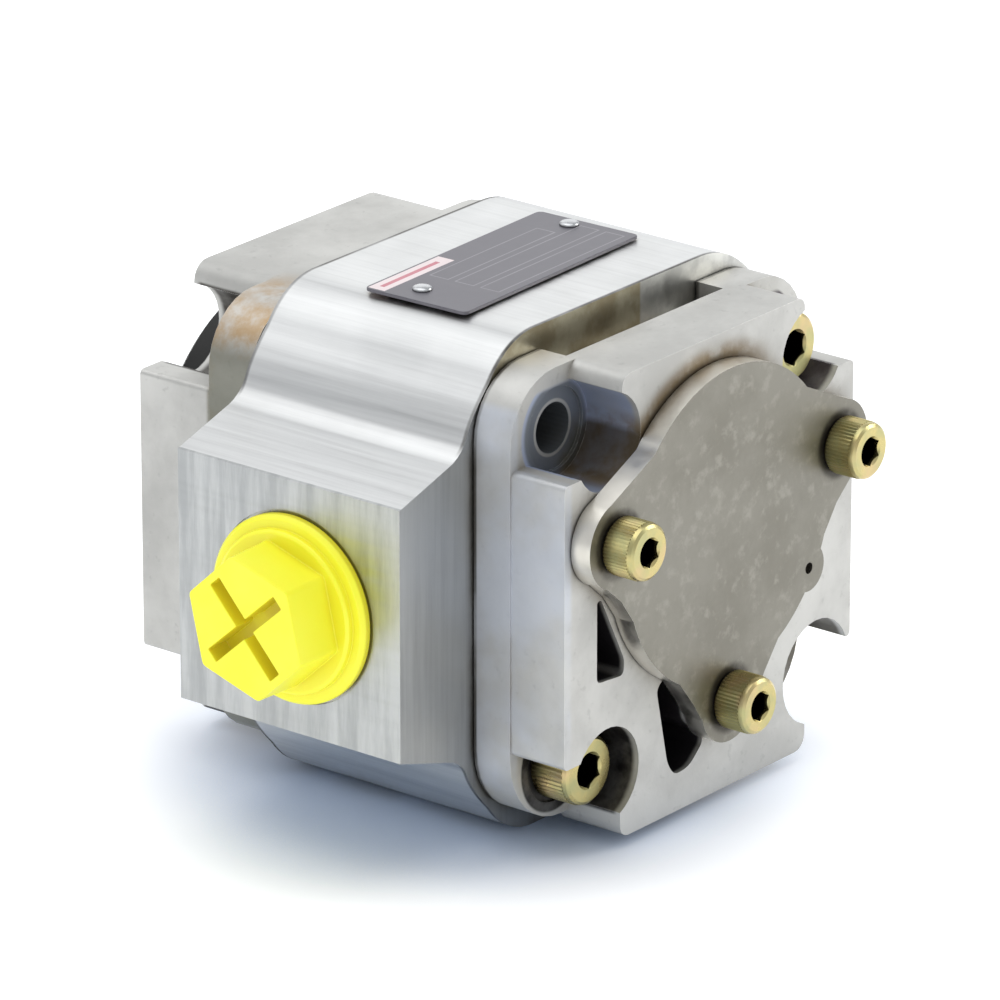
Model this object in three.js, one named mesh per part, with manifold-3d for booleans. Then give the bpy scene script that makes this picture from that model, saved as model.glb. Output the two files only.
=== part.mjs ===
// Internal gear pump: flanged aluminium body, pinion shaft, ring gear and half crescent.
// Millimetres, +Z up. The shaft runs along Y with its drive end toward +Y.
import * as THREE from 'three';
import { mergeVertices } from 'three/addons/utils/BufferGeometryUtils.js';
import Module from 'manifold-3d';

const wasm = await Module();
wasm.setup();

// Stack of the body along the shaft, measured from the rear face of the rear cover
const GAP = 0.3;
const ARM_DEPTH = 14.4;
const REAR_COVER = 24.2;
const HOUSING_REAR = 24.5;
const HOUSING_FRONT = 85.5;
const FRONT_BASE = 97.5;
const FLANGE_FACE = 117.5;
const PILOT_END = 123.8;
const SHAFT_END = 146;

// Cross-section of the body
const COVER_HALF_W = 51.4;
const COVER_TOP = 51.8;
const COVER_BOTTOM = -51;
const ARM_BOTTOM = -54;
const ARM_HALF_W = 51;
const ARM_SPAN_Z = 32.3;
const BOLT_X = 36;
const BOLT_Z = 38;
const BOLT_BORE_R = 5.6;
const BODY_HALF_H = 57;
const SUCTION_FACE = -76;
const PRESSURE_FACE = 58;
const PORT_Y = 53.5;
const SUCTION_BORE_R = 15.3;
const PRESSURE_BORE_R = 11.3;
const SUCTION_SPOT_R = 21.7;
const PRESSURE_SPOT_R = 16.7;
const SPOT_DEPTH = 0.5;
const SUCTION_REACH = 16.5;
const PRESSURE_REACH = 13.5;
const HEX_TURN = THREE.MathUtils.degToRad(13);
const SLOT_ANGLES = [48, 138].map(THREE.MathUtils.degToRad);

// Gear set
const GEAR_MODULE = 2.5;
const PINION_TEETH = 13;
const RING_TEETH = 19;
const PRESSURE_ANGLE = THREE.MathUtils.degToRad(30);
const GEAR_ADDENDUM = 0.8 * GEAR_MODULE;
const GEAR_DEDENDUM = 1.02 * GEAR_MODULE;
const BACKLASH = 0.3;
const RING_OFFSET = ((RING_TEETH - PINION_TEETH) * GEAR_MODULE) / 2;
const GEAR_REAR = 31;
const GEAR_FRONT = 79;
const RING_OUTER_R = 33;
const CHAMBER_R = 33.3;
const JOURNAL_R = 9.8;
const BUSH_BORE_R = 10;
const BUSH_OUTER_R = 12.7;
const STUB_R = 9;

// Crescent, placed by the angle from straight up toward the pressure side
const CRESCENT_START = 13;
const CRESCENT_END = 72;
const PIN_X = -3;
const PIN_Z = 23.7;
const PIN_R = 4;
const ROLLER_ANGLES = [27, 54];
const ROLLER_R = 1.2;

// Three-lobed cover plate on the rear cover
const PLATE_THICK = 5;
const PLATE_R = 36;
const PLATE_Z = 10;
const LOBE_R = 10;
const LOBES = [[-39.2, 17.3], [39.2, 17.3], [0.3, -30]];
const PLATE_EAR = { x: 28.4, z: -8.5, radius: 5.4 };

const MAT = {
  machined: { color: 0xdededb, roughness: 0.35, metalness: 0.85 },
  cast: { color: 0xc6c5bb, roughness: 0.55, metalness: 0.7 },
  plate: { color: 0x98948a, roughness: 0.6, metalness: 0.6 },
  zinc: { color: 0xc9bc78, roughness: 0.35, metalness: 0.85 },
  steel: { color: 0xa9abae, roughness: 0.3, metalness: 0.9 },
  bronze: { color: 0xa9803f, roughness: 0.4, metalness: 0.85 },
  rubber: { color: 0x1b1b1c, roughness: 0.8, metalness: 0 },
  label: { color: 0x58565f, roughness: 0.5, metalness: 0.3 },
  plastic: { color: 0xf2ee1c, roughness: 0.45, metalness: 0 },
};

const pump = new THREE.Group();
const { degToRad } = THREE.MathUtils;

// Turns a closed geometry into a solid, facing outward
function solid(geometry) {
  const bare = geometry.clone();
  bare.deleteAttribute('normal');
  bare.deleteAttribute('uv');
  const merged = mergeVertices(bare, 1e-4);
  const vertProperties = new Float32Array(merged.attributes.position.array);
  const triVerts = new Uint32Array(merged.index.array);
  return new wasm.Manifold(new wasm.Mesh({ numProp: 3, vertProperties, triVerts }));
}

function add(name, shape, look, group = pump) {
  const data = shape.getMesh();
  const geometry = new THREE.BufferGeometry();
  geometry.setAttribute('position', new THREE.BufferAttribute(data.vertProperties, 3));
  geometry.setIndex(new THREE.BufferAttribute(data.triVerts, 1));
  geometry.computeVertexNormals();
  const mesh = new THREE.Mesh(geometry, new THREE.MeshStandardMaterial(look));
  mesh.name = name;
  group.add(mesh);
  return mesh;
}

const joined = (first, ...rest) => rest.reduce((sum, next) => sum.add(next), first);
const cut = (first, ...rest) => rest.reduce((left, next) => left.subtract(next), first);

// Cylinder along Y from y0 to y1
function rod(radius, y0, y1, x = 0, z = 0, sides = 32) {
  const geometry = new THREE.CylinderGeometry(radius, radius, y1 - y0, sides);
  geometry.translate(x, (y0 + y1) / 2, z);
  return solid(geometry);
}

// Cylinder along X from x0 to x1
function cross(radius, x0, x1, y, z = 0, sides = 32) {
  const geometry = new THREE.CylinderGeometry(radius, radius, x1 - x0, sides);
  geometry.rotateZ(Math.PI / 2);
  geometry.translate((x0 + x1) / 2, y, z);
  return solid(geometry);
}

function block(x0, x1, y0, y1, z0, z1) {
  const geometry = new THREE.BoxGeometry(x1 - x0, y1 - y0, z1 - z0);
  geometry.translate((x0 + x1) / 2, (y0 + y1) / 2, (z0 + z1) / 2);
  return solid(geometry);
}

// Closed ring profile of [radius, y] pairs turned about the Y direction through x, z
function turned(profile, x = 0, z = 0, sides = 40) {
  const closed = [...profile, profile[0]].map(([r, y]) => new THREE.Vector2(r, y));
  const geometry = new THREE.LatheGeometry(closed, sides);
  geometry.translate(x, 0, z);
  return solid(geometry);
}

function ring(inner, outer, y0, y1, x = 0, z = 0, sides = 40) {
  return turned([[inner, y0], [outer, y0], [outer, y1], [inner, y1]], x, z, sides);
}

function torus(radius, tube, y, x = 0, z = 0, sides = 28) {
  const profile = Array.from({ length: 6 }, (_, i) => {
    const a = (-Math.PI * 2 * i) / 6;
    return [radius + tube * Math.cos(a), y - tube * Math.sin(a)];
  });
  return turned(profile, x, z, sides);
}

// Outline in the X-Z plane drawn out along Y from y0 to y1
function slab(shape, y0, y1, curveSegments = 8) {
  const options = { depth: y1 - y0, bevelEnabled: false, curveSegments };
  const geometry = new THREE.ExtrudeGeometry(shape, options);
  geometry.rotateX(Math.PI / 2);
  geometry.translate(0, y1, 0);
  return solid(geometry);
}

function polygon(points) {
  return new THREE.Shape(points.map(([x, z]) => new THREE.Vector2(x, z)));
}

// Outline of a cover, halfW to each side, from low up to COVER_TOP
function coverOutline(halfW, low, lowR, topR) {
  const shape = new THREE.Shape();
  shape.moveTo(-halfW + lowR, low);
  shape.lineTo(halfW - lowR, low);
  shape.absarc(halfW - lowR, low + lowR, lowR, -Math.PI / 2, 0);
  shape.lineTo(halfW, COVER_TOP - topR);
  shape.absarc(halfW - topR, COVER_TOP - topR, topR, 0, Math.PI / 2);
  shape.lineTo(-halfW + topR, COVER_TOP);
  shape.absarc(-halfW + topR, COVER_TOP - topR, topR, Math.PI / 2, Math.PI);
  shape.lineTo(-halfW, low + lowR);
  shape.absarc(-halfW + lowR, low + lowR, lowR, Math.PI, Math.PI * 1.5);
  return shape;
}

const corners = [[-1, 1], [1, 1], [1, -1], [-1, -1]];

// Notches at the corners: end of the upright arm in x, then the round hollow's x, z and radius
const REAR_NOTCHES = [[-31.5, -36, 38, 11], [33, 36, 38, 11], [34.6, 38.5, -37, 12], [-31.5, -36, -38, 11]];
const FRONT_NOTCHES = corners.map(([sx, sz]) => [sx * 32.5, sx * 34.5, sz * 37, 10.3]);

// Plus-shaped arms: a rectangle whose corners are cut away round each bolt
function arms(y0, y1, notches) {
  let body = slab(coverOutline(ARM_HALF_W, ARM_BOTTOM, 3, 3), y0, y1, 3);
  corners.forEach(([sx, sz], i) => {
    const [armEnd, x, z, radius] = notches[i];
    const xs = [armEnd, sx * (COVER_HALF_W + 9)].sort((a, b) => a - b);
    const zs = [sz * ARM_SPAN_Z, sz * (COVER_TOP + 9)].sort((a, b) => a - b);
    body = body.subtract(block(xs[0], xs[1], y0 - 1, y1 + 1, zs[0], zs[1]));
    body = body.subtract(rod(radius, y0 - 1, y1 + 1, x, z, 28));
  });
  return body;
}

const coverBase = (y0, y1) => slab(coverOutline(COVER_HALF_W, COVER_BOTTOM, 18, 15), y0, y1, 7);

function boltBores(radius, y0, y1) {
  return corners.map(([sx, sz]) => rod(radius, y0, y1, sx * BOLT_X, sz * BOLT_Z, 14));
}

const DOWELS = [[-43.5, 7.5], [43.5, -14]];
const dowelBores = (y0, y1) => DOWELS.map(([x, z]) => rod(2.7, y0, y1, x, z, 10));

// Housing
function housingShape() {
  const shape = new THREE.Shape();
  shape.moveTo(28, BODY_HALF_H);
  shape.lineTo(-31, BODY_HALF_H);
  shape.quadraticCurveTo(-40, 56.6, -46, 48.5);
  shape.quadraticCurveTo(-51.5, 43, -53.3, 39);
  shape.quadraticCurveTo(-54.8, 35.2, -59, 33.8);
  shape.lineTo(SUCTION_FACE, 28.7);
  shape.lineTo(SUCTION_FACE, -28.7);
  shape.lineTo(-59, -33.8);
  shape.quadraticCurveTo(-54.8, -35.2, -53.3, -39);
  shape.quadraticCurveTo(-51.5, -43, -46, -48.5);
  shape.quadraticCurveTo(-40, -56.6, -31, -BODY_HALF_H);
  shape.lineTo(28, -BODY_HALF_H);
  shape.quadraticCurveTo(38, -57, 46, -48.5);
  shape.quadraticCurveTo(52, -42, 52, -34);
  shape.lineTo(PRESSURE_FACE, -24);
  shape.lineTo(PRESSURE_FACE, 24);
  shape.lineTo(52, 34);
  shape.quadraticCurveTo(52, 42, 46, 48.5);
  shape.quadraticCurveTo(38, 57, 28, BODY_HALF_H);
  return shape;
}

// Name plate, turned a little as it was riveted, and its two rivets
const NAME_PLATE = { x: -3.6, y: 54.3, long: 63.2, wide: 27.2, thick: 0.8, turn: degToRad(1.8) };
const RIVETS = [[-25.2, 2.8], [28, 2.8]].map(([x, y]) => [
  NAME_PLATE.x + x * Math.cos(NAME_PLATE.turn) - y * Math.sin(NAME_PLATE.turn),
  NAME_PLATE.y + x * Math.sin(NAME_PLATE.turn) + y * Math.cos(NAME_PLATE.turn),
]);

function upright(radius, z0, z1, x, y, sides) {
  const geometry = new THREE.CylinderGeometry(radius, radius, z1 - z0, sides);
  geometry.rotateX(Math.PI / 2);
  geometry.translate(x, y, (z0 + z1) / 2);
  return solid(geometry);
}

const housing = cut(
  slab(housingShape(), HOUSING_REAR, HOUSING_FRONT, 7),
  rod(CHAMBER_R, HOUSING_REAR - 1, HOUSING_FRONT + 1, 0, RING_OFFSET, 56),
  ...boltBores(BOLT_BORE_R, HOUSING_REAR - 1, HOUSING_FRONT + 1),
  ...dowelBores(HOUSING_REAR - 1, HOUSING_REAR + 6.5),
  ...dowelBores(HOUSING_FRONT - 6.5, HOUSING_FRONT + 1),
  cross(SUCTION_BORE_R, SUCTION_FACE - 1, -20, PORT_Y, 0, 28),
  cross(PRESSURE_BORE_R, 20, PRESSURE_FACE + 1, PORT_Y, 0, 24),
  cross(SUCTION_SPOT_R, SUCTION_FACE - 1, SUCTION_FACE + SPOT_DEPTH, PORT_Y, 0, 36),
  cross(PRESSURE_SPOT_R, PRESSURE_FACE - SPOT_DEPTH, PRESSURE_FACE + 1, PORT_Y, 0, 36),
  ...RIVETS.map(([x, y]) => upright(1.2, BODY_HALF_H - 5, BODY_HALF_H + 1, x, y, 8)),
);
add('housing', housing, MAT.machined);

// Rear cover with its cast pockets, the recess in its top edge, bearing bore and seal grooves
const pocketA = polygon([[-39.8, 3], [-38.4, 3.2], [-30.2, -13], [-30.6, -16.4], [-39.8, -15.6]]);
const pocketB = polygon([
  [-18.9, -23.6], [-16.6, -21.6], [-10.4, -24], [-8.8, -34], [-2.6, -38.6],
  [-2.6, -41], [-7.2, -45], [-12.4, -45.4], [-14.9, -42],
]);

let rearCover = joined(arms(0, ARM_DEPTH + 0.2, REAR_NOTCHES), coverBase(ARM_DEPTH, REAR_COVER));
rearCover = cut(
  rearCover,
  ...boltBores(BOLT_BORE_R, -1, REAR_COVER + 1),
  ...boltBores(9.4, ARM_DEPTH - 1, ARM_DEPTH + 0.8),
  ...LOBES.map(([x, z]) => rod(4.3, -1, 15, x, z, 12)),
  ...dowelBores(REAR_COVER - 6.5, REAR_COVER + 1),
  block(-29, 26, ARM_DEPTH + 2.6, REAR_COVER + 1, 47, 60),
  slab(pocketA, -1, 12),
  slab(pocketB, -1, 13),
  rod(20.3, -1, 5, 0, 0, 32),
  rod(13, 4, REAR_COVER + 1, 0, 0, 32),
  ring(35.5, 38.6, REAR_COVER - 2.1, REAR_COVER + 1, 0, RING_OFFSET, 36),
  ring(5.7, 8.3, REAR_COVER - 1.9, REAR_COVER + 1, 23.5, RING_OFFSET, 18),
);
add('rear_cover', rearCover, MAT.cast);

// Front cover: base, mounting flange arms and centring pilot in one casting
let frontCover = joined(
  coverBase(HOUSING_FRONT + GAP, FRONT_BASE),
  arms(FRONT_BASE - 0.2, FLANGE_FACE, FRONT_NOTCHES),
  rod(40, FLANGE_FACE - 4, PILOT_END, 0, 0, 48),
);
frontCover = cut(
  frontCover,
  ...boltBores(BOLT_BORE_R, HOUSING_FRONT - 1, PILOT_END + 1),
  ...dowelBores(HOUSING_FRONT - 1, HOUSING_FRONT + 6.8),
  rod(13, HOUSING_FRONT - 1, PILOT_END + 1, 0, 0, 32),
  rod(16, 106.5, PILOT_END + 1, 0, 0, 32),
  ring(15, 17.2, 114.6, 116.6, 0, 0, 32),
  ring(35.5, 38.6, HOUSING_FRONT - 1, HOUSING_FRONT + GAP + 2.1, 0, RING_OFFSET, 36),
  ring(5.7, 8.3, HOUSING_FRONT - 1, HOUSING_FRONT + GAP + 1.9, 23.5, RING_OFFSET, 18),
);
add('front_cover', frontCover, MAT.cast);

// Three-lobed cover plate with a spigot in the bearing bore
const plateBack = -GAP - PLATE_THICK;
let plate = rod(PLATE_R, plateBack, -GAP, 0, PLATE_Z, 44);
for (const [x, z] of LOBES) {
  plate = plate.add(rod(LOBE_R, plateBack, -GAP, x, z, 22));
}
const webs = [
  [[20, 20], [39, 17], [42.2, 26.8], [26.9, 33.9]],
  [[30, 10], [33.9, -2.1], [38.3, 4], [43.2, 8.2]],
  [[0, -20], [9.8, -32], [12.7, -27.6], [17.5, -21.5]],
];
for (const web of webs) {
  const mirrored = web.map(([x, z]) => [-x, z]).reverse();
  plate = joined(plate, slab(polygon(web), plateBack, -GAP), slab(polygon(mirrored), plateBack, -GAP));
}
plate = plate.add(rod(PLATE_EAR.radius, plateBack, -GAP, PLATE_EAR.x, PLATE_EAR.z, 18));
plate = plate.add(rod(20, -GAP - 1, 3.2, 0, 0, 32));
plate = cut(plate, ring(16.4, 18.2, 1.8, 4, 0, 0, 28), rod(15, 0.5, 4, 0, 0, 24));
plate = cut(plate, ...LOBES.map(([x, z]) => rod(4.3, plateBack - 1, 1, x, z, 12)));
plate = plate.subtract(rod(1.3, plateBack - 1, plateBack + 2.5, PLATE_EAR.x, PLATE_EAR.z, 8));
add('cover_plate', plate, MAT.plate);

// Socket-head cap screw: head toward the rear, hexagon socket, shank toward the front
function capScrew(headRear, headLong, headR, shankR, tip, x, z) {
  const headFront = headRear + headLong;
  const head = turned([
    [0, headRear], [headR - 0.7, headRear], [headR, headRear + 0.7], [headR, headFront], [0, headFront],
  ], x, z, 20);
  const shank = rod(shankR, headFront - 0.5, tip, x, z, 12);
  const socket = rod(headR * 0.53, headRear - 1, headRear + headLong * 0.55, x, z, 6);
  return cut(head.add(shank), socket);
}

LOBES.forEach(([x, z], i) => {
  const head = capScrew(plateBack - GAP - 8, 8, 6.5, 4, 14, x, z);
  add(`cover_plate_screw_${i + 1}`, head, MAT.zinc);
});
[[1, 1], [-1, -1]].forEach(([sx, sz], i) => {
  const screw = capScrew(ARM_DEPTH + 0.5 - 10, 10, 8, 5, 104, sx * BOLT_X, sz * BOLT_Z);
  add(`assembly_screw_${i + 1}`, screw, MAT.zinc);
});

// Dowel pins, two at each joint face
DOWELS.forEach(([x, z], i) => {
  add(`dowel_pin_rear_${i + 1}`, rod(2.4, REAR_COVER - 6, HOUSING_REAR + 6, x, z, 10), MAT.steel);
  add(`dowel_pin_front_${i + 1}`, rod(2.4, HOUSING_FRONT - 6, HOUSING_FRONT + 6.3, x, z, 10), MAT.steel);
});

// Seals
add('housing_o_ring_rear', torus(37.05, 1.1, REAR_COVER - 0.9, 0, RING_OFFSET), MAT.rubber);
add('housing_o_ring_front', torus(37.05, 1.1, HOUSING_FRONT + GAP + 0.9, 0, RING_OFFSET), MAT.rubber);
add('pressure_seal_rear', torus(7, 0.9, REAR_COVER - 0.8, 23.5, RING_OFFSET, 20), MAT.rubber);
add('pressure_seal_front', torus(7, 0.9, HOUSING_FRONT + GAP + 0.8, 23.5, RING_OFFSET, 20), MAT.rubber);
add('cover_plate_o_ring', torus(17.3, 0.7, 2.7, 0, 0, 32), MAT.rubber);

const shaftSeal = turned([
  [14, 107.2], [15.7, 107.2], [15.7, 114], [12.4, 114], [12.4, 112.8], [10.1, 112.8],
  [10.1, 111.4], [12.4, 110.6], [12.4, 107.8], [14, 107.8],
], 0, 0, 24);
add('shaft_seal', shaftSeal, MAT.rubber);
const clip = cut(ring(13.4, 16.9, 114.9, 116.3, 0, 0, 28), block(-3.5, 3.5, 114, 117, -18, -12));
add('seal_retaining_ring', clip, MAT.steel);

// Plain bearings
add('bush_rear', ring(BUSH_BORE_R, BUSH_OUTER_R, 6.5, REAR_COVER, 0, 0, 32), MAT.bronze);
add('bush_front', ring(BUSH_BORE_R, BUSH_OUTER_R, HOUSING_FRONT + GAP, 105, 0, 0, 32), MAT.bronze);

// Involute gear outline, used for the pinion and for the hollow of the ring gear.
// halfTooth is the half angle of a tooth at the pitch circle.
function involuteOutline(teeth, outerR, innerR, halfTooth, steps) {
  const pitchR = (teeth * GEAR_MODULE) / 2;
  const baseR = pitchR * Math.cos(PRESSURE_ANGLE);
  const inv = (r) => {
    const a = Math.acos(Math.min(1, baseR / r));
    return Math.tan(a) - a;
  };
  const halfAt = (r) => halfTooth + inv(pitchR) - inv(r);
  const startR = Math.max(baseR, innerR);
  const points = [];
  for (let i = 0; i < teeth; i += 1) {
    const centre = (i * 2 * Math.PI) / teeth;
    const flank = [];
    if (innerR < startR) flank.push([innerR, halfAt(startR) + 0.03]);
    for (let s = 0; s <= steps; s += 1) {
      const r = startR + ((outerR - startR) * s) / steps;
      flank.push([r, halfAt(r)]);
    }
    for (const [r, half] of flank) points.push([r, centre - half]);
    points.push([outerR, centre]);
    for (const [r, half] of [...flank].reverse()) points.push([r, centre + half]);
    points.push([innerR, centre + Math.PI / teeth]);
  }
  return points.map(([r, a]) => [r * Math.sin(a), r * Math.cos(a)]);
}

const pinionHalf = (Math.PI / 2 - BACKLASH / (2 * GEAR_MODULE)) / PINION_TEETH;
const ringSpaceHalf = (Math.PI / 2 + BACKLASH / (2 * GEAR_MODULE)) / RING_TEETH;
const PINION_R = (PINION_TEETH * GEAR_MODULE) / 2;
const RING_R = (RING_TEETH * GEAR_MODULE) / 2;

// A pinion tooth points straight down at rest, into a space of the ring gear
const pinionOutline = involuteOutline(
  PINION_TEETH, PINION_R + GEAR_ADDENDUM, PINION_R - GEAR_DEDENDUM, pinionHalf, 3,
).map(([x, z]) => [x, -z]);
const ringHollow = involuteOutline(
  RING_TEETH, RING_R + GEAR_DEDENDUM, RING_R - GEAR_ADDENDUM, ringSpaceHalf, 3,
).map(([x, z]) => [x, -z + RING_OFFSET]);

const keyway = block(-3.1, 3.1, 127, 143, STUB_R - 3.5, STUB_R + 2);
let driveShaft = turned([
  [0, 7.5], [JOURNAL_R - 1, 7.5], [JOURNAL_R, 8.5], [JOURNAL_R, 120], [STUB_R, 121],
  [STUB_R, SHAFT_END - 1], [STUB_R - 1, SHAFT_END], [0, SHAFT_END],
], 0, 0, 32);
driveShaft = driveShaft.add(slab(polygon(pinionOutline), GEAR_REAR, GEAR_FRONT));
driveShaft = driveShaft.subtract(keyway);
add('drive_shaft', driveShaft, MAT.steel);
add('shaft_key', block(-2.8, 2.8, 127.3, 142.7, STUB_R - 3.2, STUB_R + 2.2), MAT.steel);

let ringGear = rod(RING_OUTER_R, GEAR_REAR, GEAR_FRONT, 0, RING_OFFSET, 57);
ringGear = ringGear.subtract(slab(polygon(ringHollow), GEAR_REAR - 1, GEAR_FRONT + 1));
for (let i = 0; i < RING_TEETH; i += 1) {
  const hole = new THREE.CylinderGeometry(1.9, 1.9, 14, 6);
  hole.translate(0, -RING_R - 9, 0);
  hole.rotateX(Math.PI / 2);
  hole.rotateY((i * 2 * Math.PI) / RING_TEETH);
  hole.translate(0, PORT_Y, RING_OFFSET);
  ringGear = ringGear.subtract(solid(hole));
}
add('ring_gear', ringGear, MAT.steel);

// Axial discs at both ends of the gears
for (const [name, y0, y1] of [
  ['axial_disc_rear', HOUSING_REAR + GAP, GEAR_REAR - GAP],
  ['axial_disc_front', GEAR_FRONT + GAP, HOUSING_FRONT - GAP],
]) {
  const disc = cut(
    rod(RING_OUTER_R, y0, y1, 0, RING_OFFSET, 48),
    rod(10.3, y0 - 1, y1 + 1, 0, 0, 28),
    rod(PIN_R + GAP, y0 - 1, y1 + 1, PIN_X, PIN_Z, 16),
  );
  add(name, disc, MAT.bronze);
}

// Half crescent on the pressure side: inner carrier and outer segment with rollers and a spring
const innerR = PINION_R + GEAR_ADDENDUM + GAP;
const outerR = RING_R - GEAR_ADDENDUM - GAP;

// Radius from the shaft axis, at an angle, of a fraction of the way across the crescent
function across(angle, part) {
  const a = degToRad(angle);
  const far = RING_OFFSET * Math.cos(a) + Math.sqrt(outerR ** 2 - (RING_OFFSET * Math.sin(a)) ** 2);
  return innerR + (far - innerR) * part;
}

const polar = (r, angle) => [r * Math.sin(degToRad(angle)), r * Math.cos(degToRad(angle))];

function crescentPart(from, to, low, high, lowShift, highShift) {
  const count = 9;
  const angles = Array.from({ length: count + 1 }, (_, i) => from + ((to - from) * i) / count);
  const inner = angles.map((a) => polar(across(a, low) + lowShift, a));
  const outer = angles.map((a) => polar(across(a, high) + highShift, a));
  return polygon([...inner, ...outer.reverse()].reverse());
}

const crescentY = [GEAR_REAR + 0.2, GEAR_FRONT - 0.2];
const rollerSpots = ROLLER_ANGLES.map((a) => polar(across(a, 0.5), a));
const rollerBores = () => rollerSpots.map(([x, z]) => rod(ROLLER_R + GAP, 20, 90, x, z, 12));
const springBed = () => slab(crescentPart(34, 46, 0.5, 0.5, -0.1, 1.4), 20, 90);

const carrier = slab(crescentPart(CRESCENT_START, CRESCENT_END, 0, 0.5, 0, -0.15), ...crescentY);
add('segment_carrier', cut(carrier, ...rollerBores()), MAT.bronze);
const segment = slab(crescentPart(CRESCENT_START, CRESCENT_END, 0.5, 1, 0.15, 0), ...crescentY);
add('segment', cut(segment, ...rollerBores(), springBed()), MAT.bronze);
rollerSpots.forEach(([x, z], i) => {
  add(`sealing_roller_${i + 1}`, rod(ROLLER_R, crescentY[0], crescentY[1], x, z, 12), MAT.steel);
});
const leaf = slab(crescentPart(35.5, 44.5, 0.5, 0.5, 0.35, 0.85), GEAR_REAR + 2, GEAR_FRONT - 2);
add('leaf_spring', leaf, MAT.steel);
const stopPin = rod(PIN_R, HOUSING_REAR + 1, HOUSING_FRONT - 1, PIN_X, PIN_Z, 16);
add('stop_pin', stopPin, MAT.steel);

// Name plate and its rivets on the machined top
const plateTop = BODY_HALF_H + GAP + NAME_PLATE.thick;
const blank = new THREE.BoxGeometry(NAME_PLATE.long, NAME_PLATE.wide, NAME_PLATE.thick);
blank.rotateZ(NAME_PLATE.turn);
blank.translate(NAME_PLATE.x, NAME_PLATE.y, plateTop - NAME_PLATE.thick / 2);
const rivetHoles = RIVETS.map(([x, y]) => upright(1.4, BODY_HALF_H, BODY_HALF_H + 3, x, y, 8));
add('name_plate', cut(solid(blank), ...rivetHoles), MAT.label);
RIVETS.forEach(([x, y], i) => {
  const rivet = upright(1, BODY_HALF_H - 4, plateTop + 0.5, x, y, 8)
    .add(upright(2.2, plateTop + 0.2, plateTop + 1, x, y, 12));
  add(`name_plate_rivet_${i + 1}`, rivet, MAT.steel);
});

// Threaded plastic port plug: shank, round flange and a hexagon with a cross slot.
// out is the side it points to, face the port face and reach the length beyond it.
function portPlug(out, face, reach, boreR, flangeR, hexR) {
  const along = (a, b) => [face + out * a, face + out * b].sort((p, q) => p - q);
  const shank = cross(boreR - GAP, ...along(-12, 1), PORT_Y, 0, 24);
  const flange = cross(flangeR, ...along(GAP - SPOT_DEPTH, 2.6), PORT_Y, 0, 36);
  const collar = cross(hexR * 1.12, ...along(2.4, 4.4), PORT_Y, 0, 24);
  const hexagon = new THREE.CylinderGeometry(hexR, hexR, reach - 4, 6);
  hexagon.rotateY(HEX_TURN);
  hexagon.rotateZ(Math.PI / 2);
  hexagon.translate(face + out * (4 + (reach - 4) / 2), PORT_Y, 0);
  const slotDepth = along(reach - 6, reach + 1);
  const slots = SLOT_ANGLES.map((angle) => {
    const bar = new THREE.BoxGeometry(slotDepth[1] - slotDepth[0], hexR * 1.45, 3.4);
    bar.rotateX(angle);
    bar.translate((slotDepth[0] + slotDepth[1]) / 2, PORT_Y, 0);
    return solid(bar);
  });
  const hollow = cross(boreR - 4, ...along(-13, 3), PORT_Y, 0, 20);
  return cut(joined(shank, flange, collar, solid(hexagon)), ...slots, hollow);
}

const suctionPlug = portPlug(-1, SUCTION_FACE, SUCTION_REACH, SUCTION_BORE_R, 21.2, 16.4);
const pressurePlug = portPlug(1, PRESSURE_FACE, PRESSURE_REACH, PRESSURE_BORE_R, 16.2, 12.4);
add('suction_plug', suctionPlug, MAT.plastic);
add('pressure_plug', pressurePlug, MAT.plastic);

// Origin on the ground under the middle of the bounding box
const REAR_END = plateBack - GAP - 8;
const LEFT_END = SUCTION_FACE - SUCTION_REACH;
const RIGHT_END = PRESSURE_FACE + PRESSURE_REACH;
pump.position.set(-(LEFT_END + RIGHT_END) / 2, -(REAR_END + SHAFT_END) / 2, BODY_HALF_H);
pump.name = 'internal_gear_pump';

export default pump;
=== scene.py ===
import math
import bmesh
import bpy
from mathutils import Matrix, Vector


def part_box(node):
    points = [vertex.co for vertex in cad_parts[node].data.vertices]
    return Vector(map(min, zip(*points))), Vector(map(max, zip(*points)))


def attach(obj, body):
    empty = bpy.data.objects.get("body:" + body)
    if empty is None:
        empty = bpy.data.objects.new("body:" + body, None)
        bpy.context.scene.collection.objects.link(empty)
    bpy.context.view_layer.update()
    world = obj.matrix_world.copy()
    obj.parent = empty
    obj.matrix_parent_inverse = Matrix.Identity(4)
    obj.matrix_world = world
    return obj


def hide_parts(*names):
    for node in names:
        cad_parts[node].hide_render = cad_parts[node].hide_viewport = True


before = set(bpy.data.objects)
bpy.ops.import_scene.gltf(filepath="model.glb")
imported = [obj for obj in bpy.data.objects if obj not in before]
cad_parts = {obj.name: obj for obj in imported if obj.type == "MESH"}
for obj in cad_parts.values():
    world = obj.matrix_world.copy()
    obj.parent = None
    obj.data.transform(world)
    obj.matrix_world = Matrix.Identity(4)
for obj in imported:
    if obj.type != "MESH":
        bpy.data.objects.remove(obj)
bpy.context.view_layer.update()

# ---------------------------------------------------------------------------
# Places, read from the frame. Pieces are drawn in millimetres from ORIGIN, which lies on
# the shaft axis at the rear face of the rear cover. Y runs toward the drive end.
# ---------------------------------------------------------------------------
MM = 0.001
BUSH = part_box("bush_rear")
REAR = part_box("rear_cover")
ORIGIN = Vector(((BUSH[0].x + BUSH[1].x) / 2, REAR[0].y, (BUSH[0].z + BUSH[1].z) / 2))


def span(node):
    """Lowest and highest corner of a CAD node, in millimetres from ORIGIN."""
    low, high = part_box(node)
    return (low - ORIGIN) / MM, (high - ORIGIN) / MM


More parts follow.
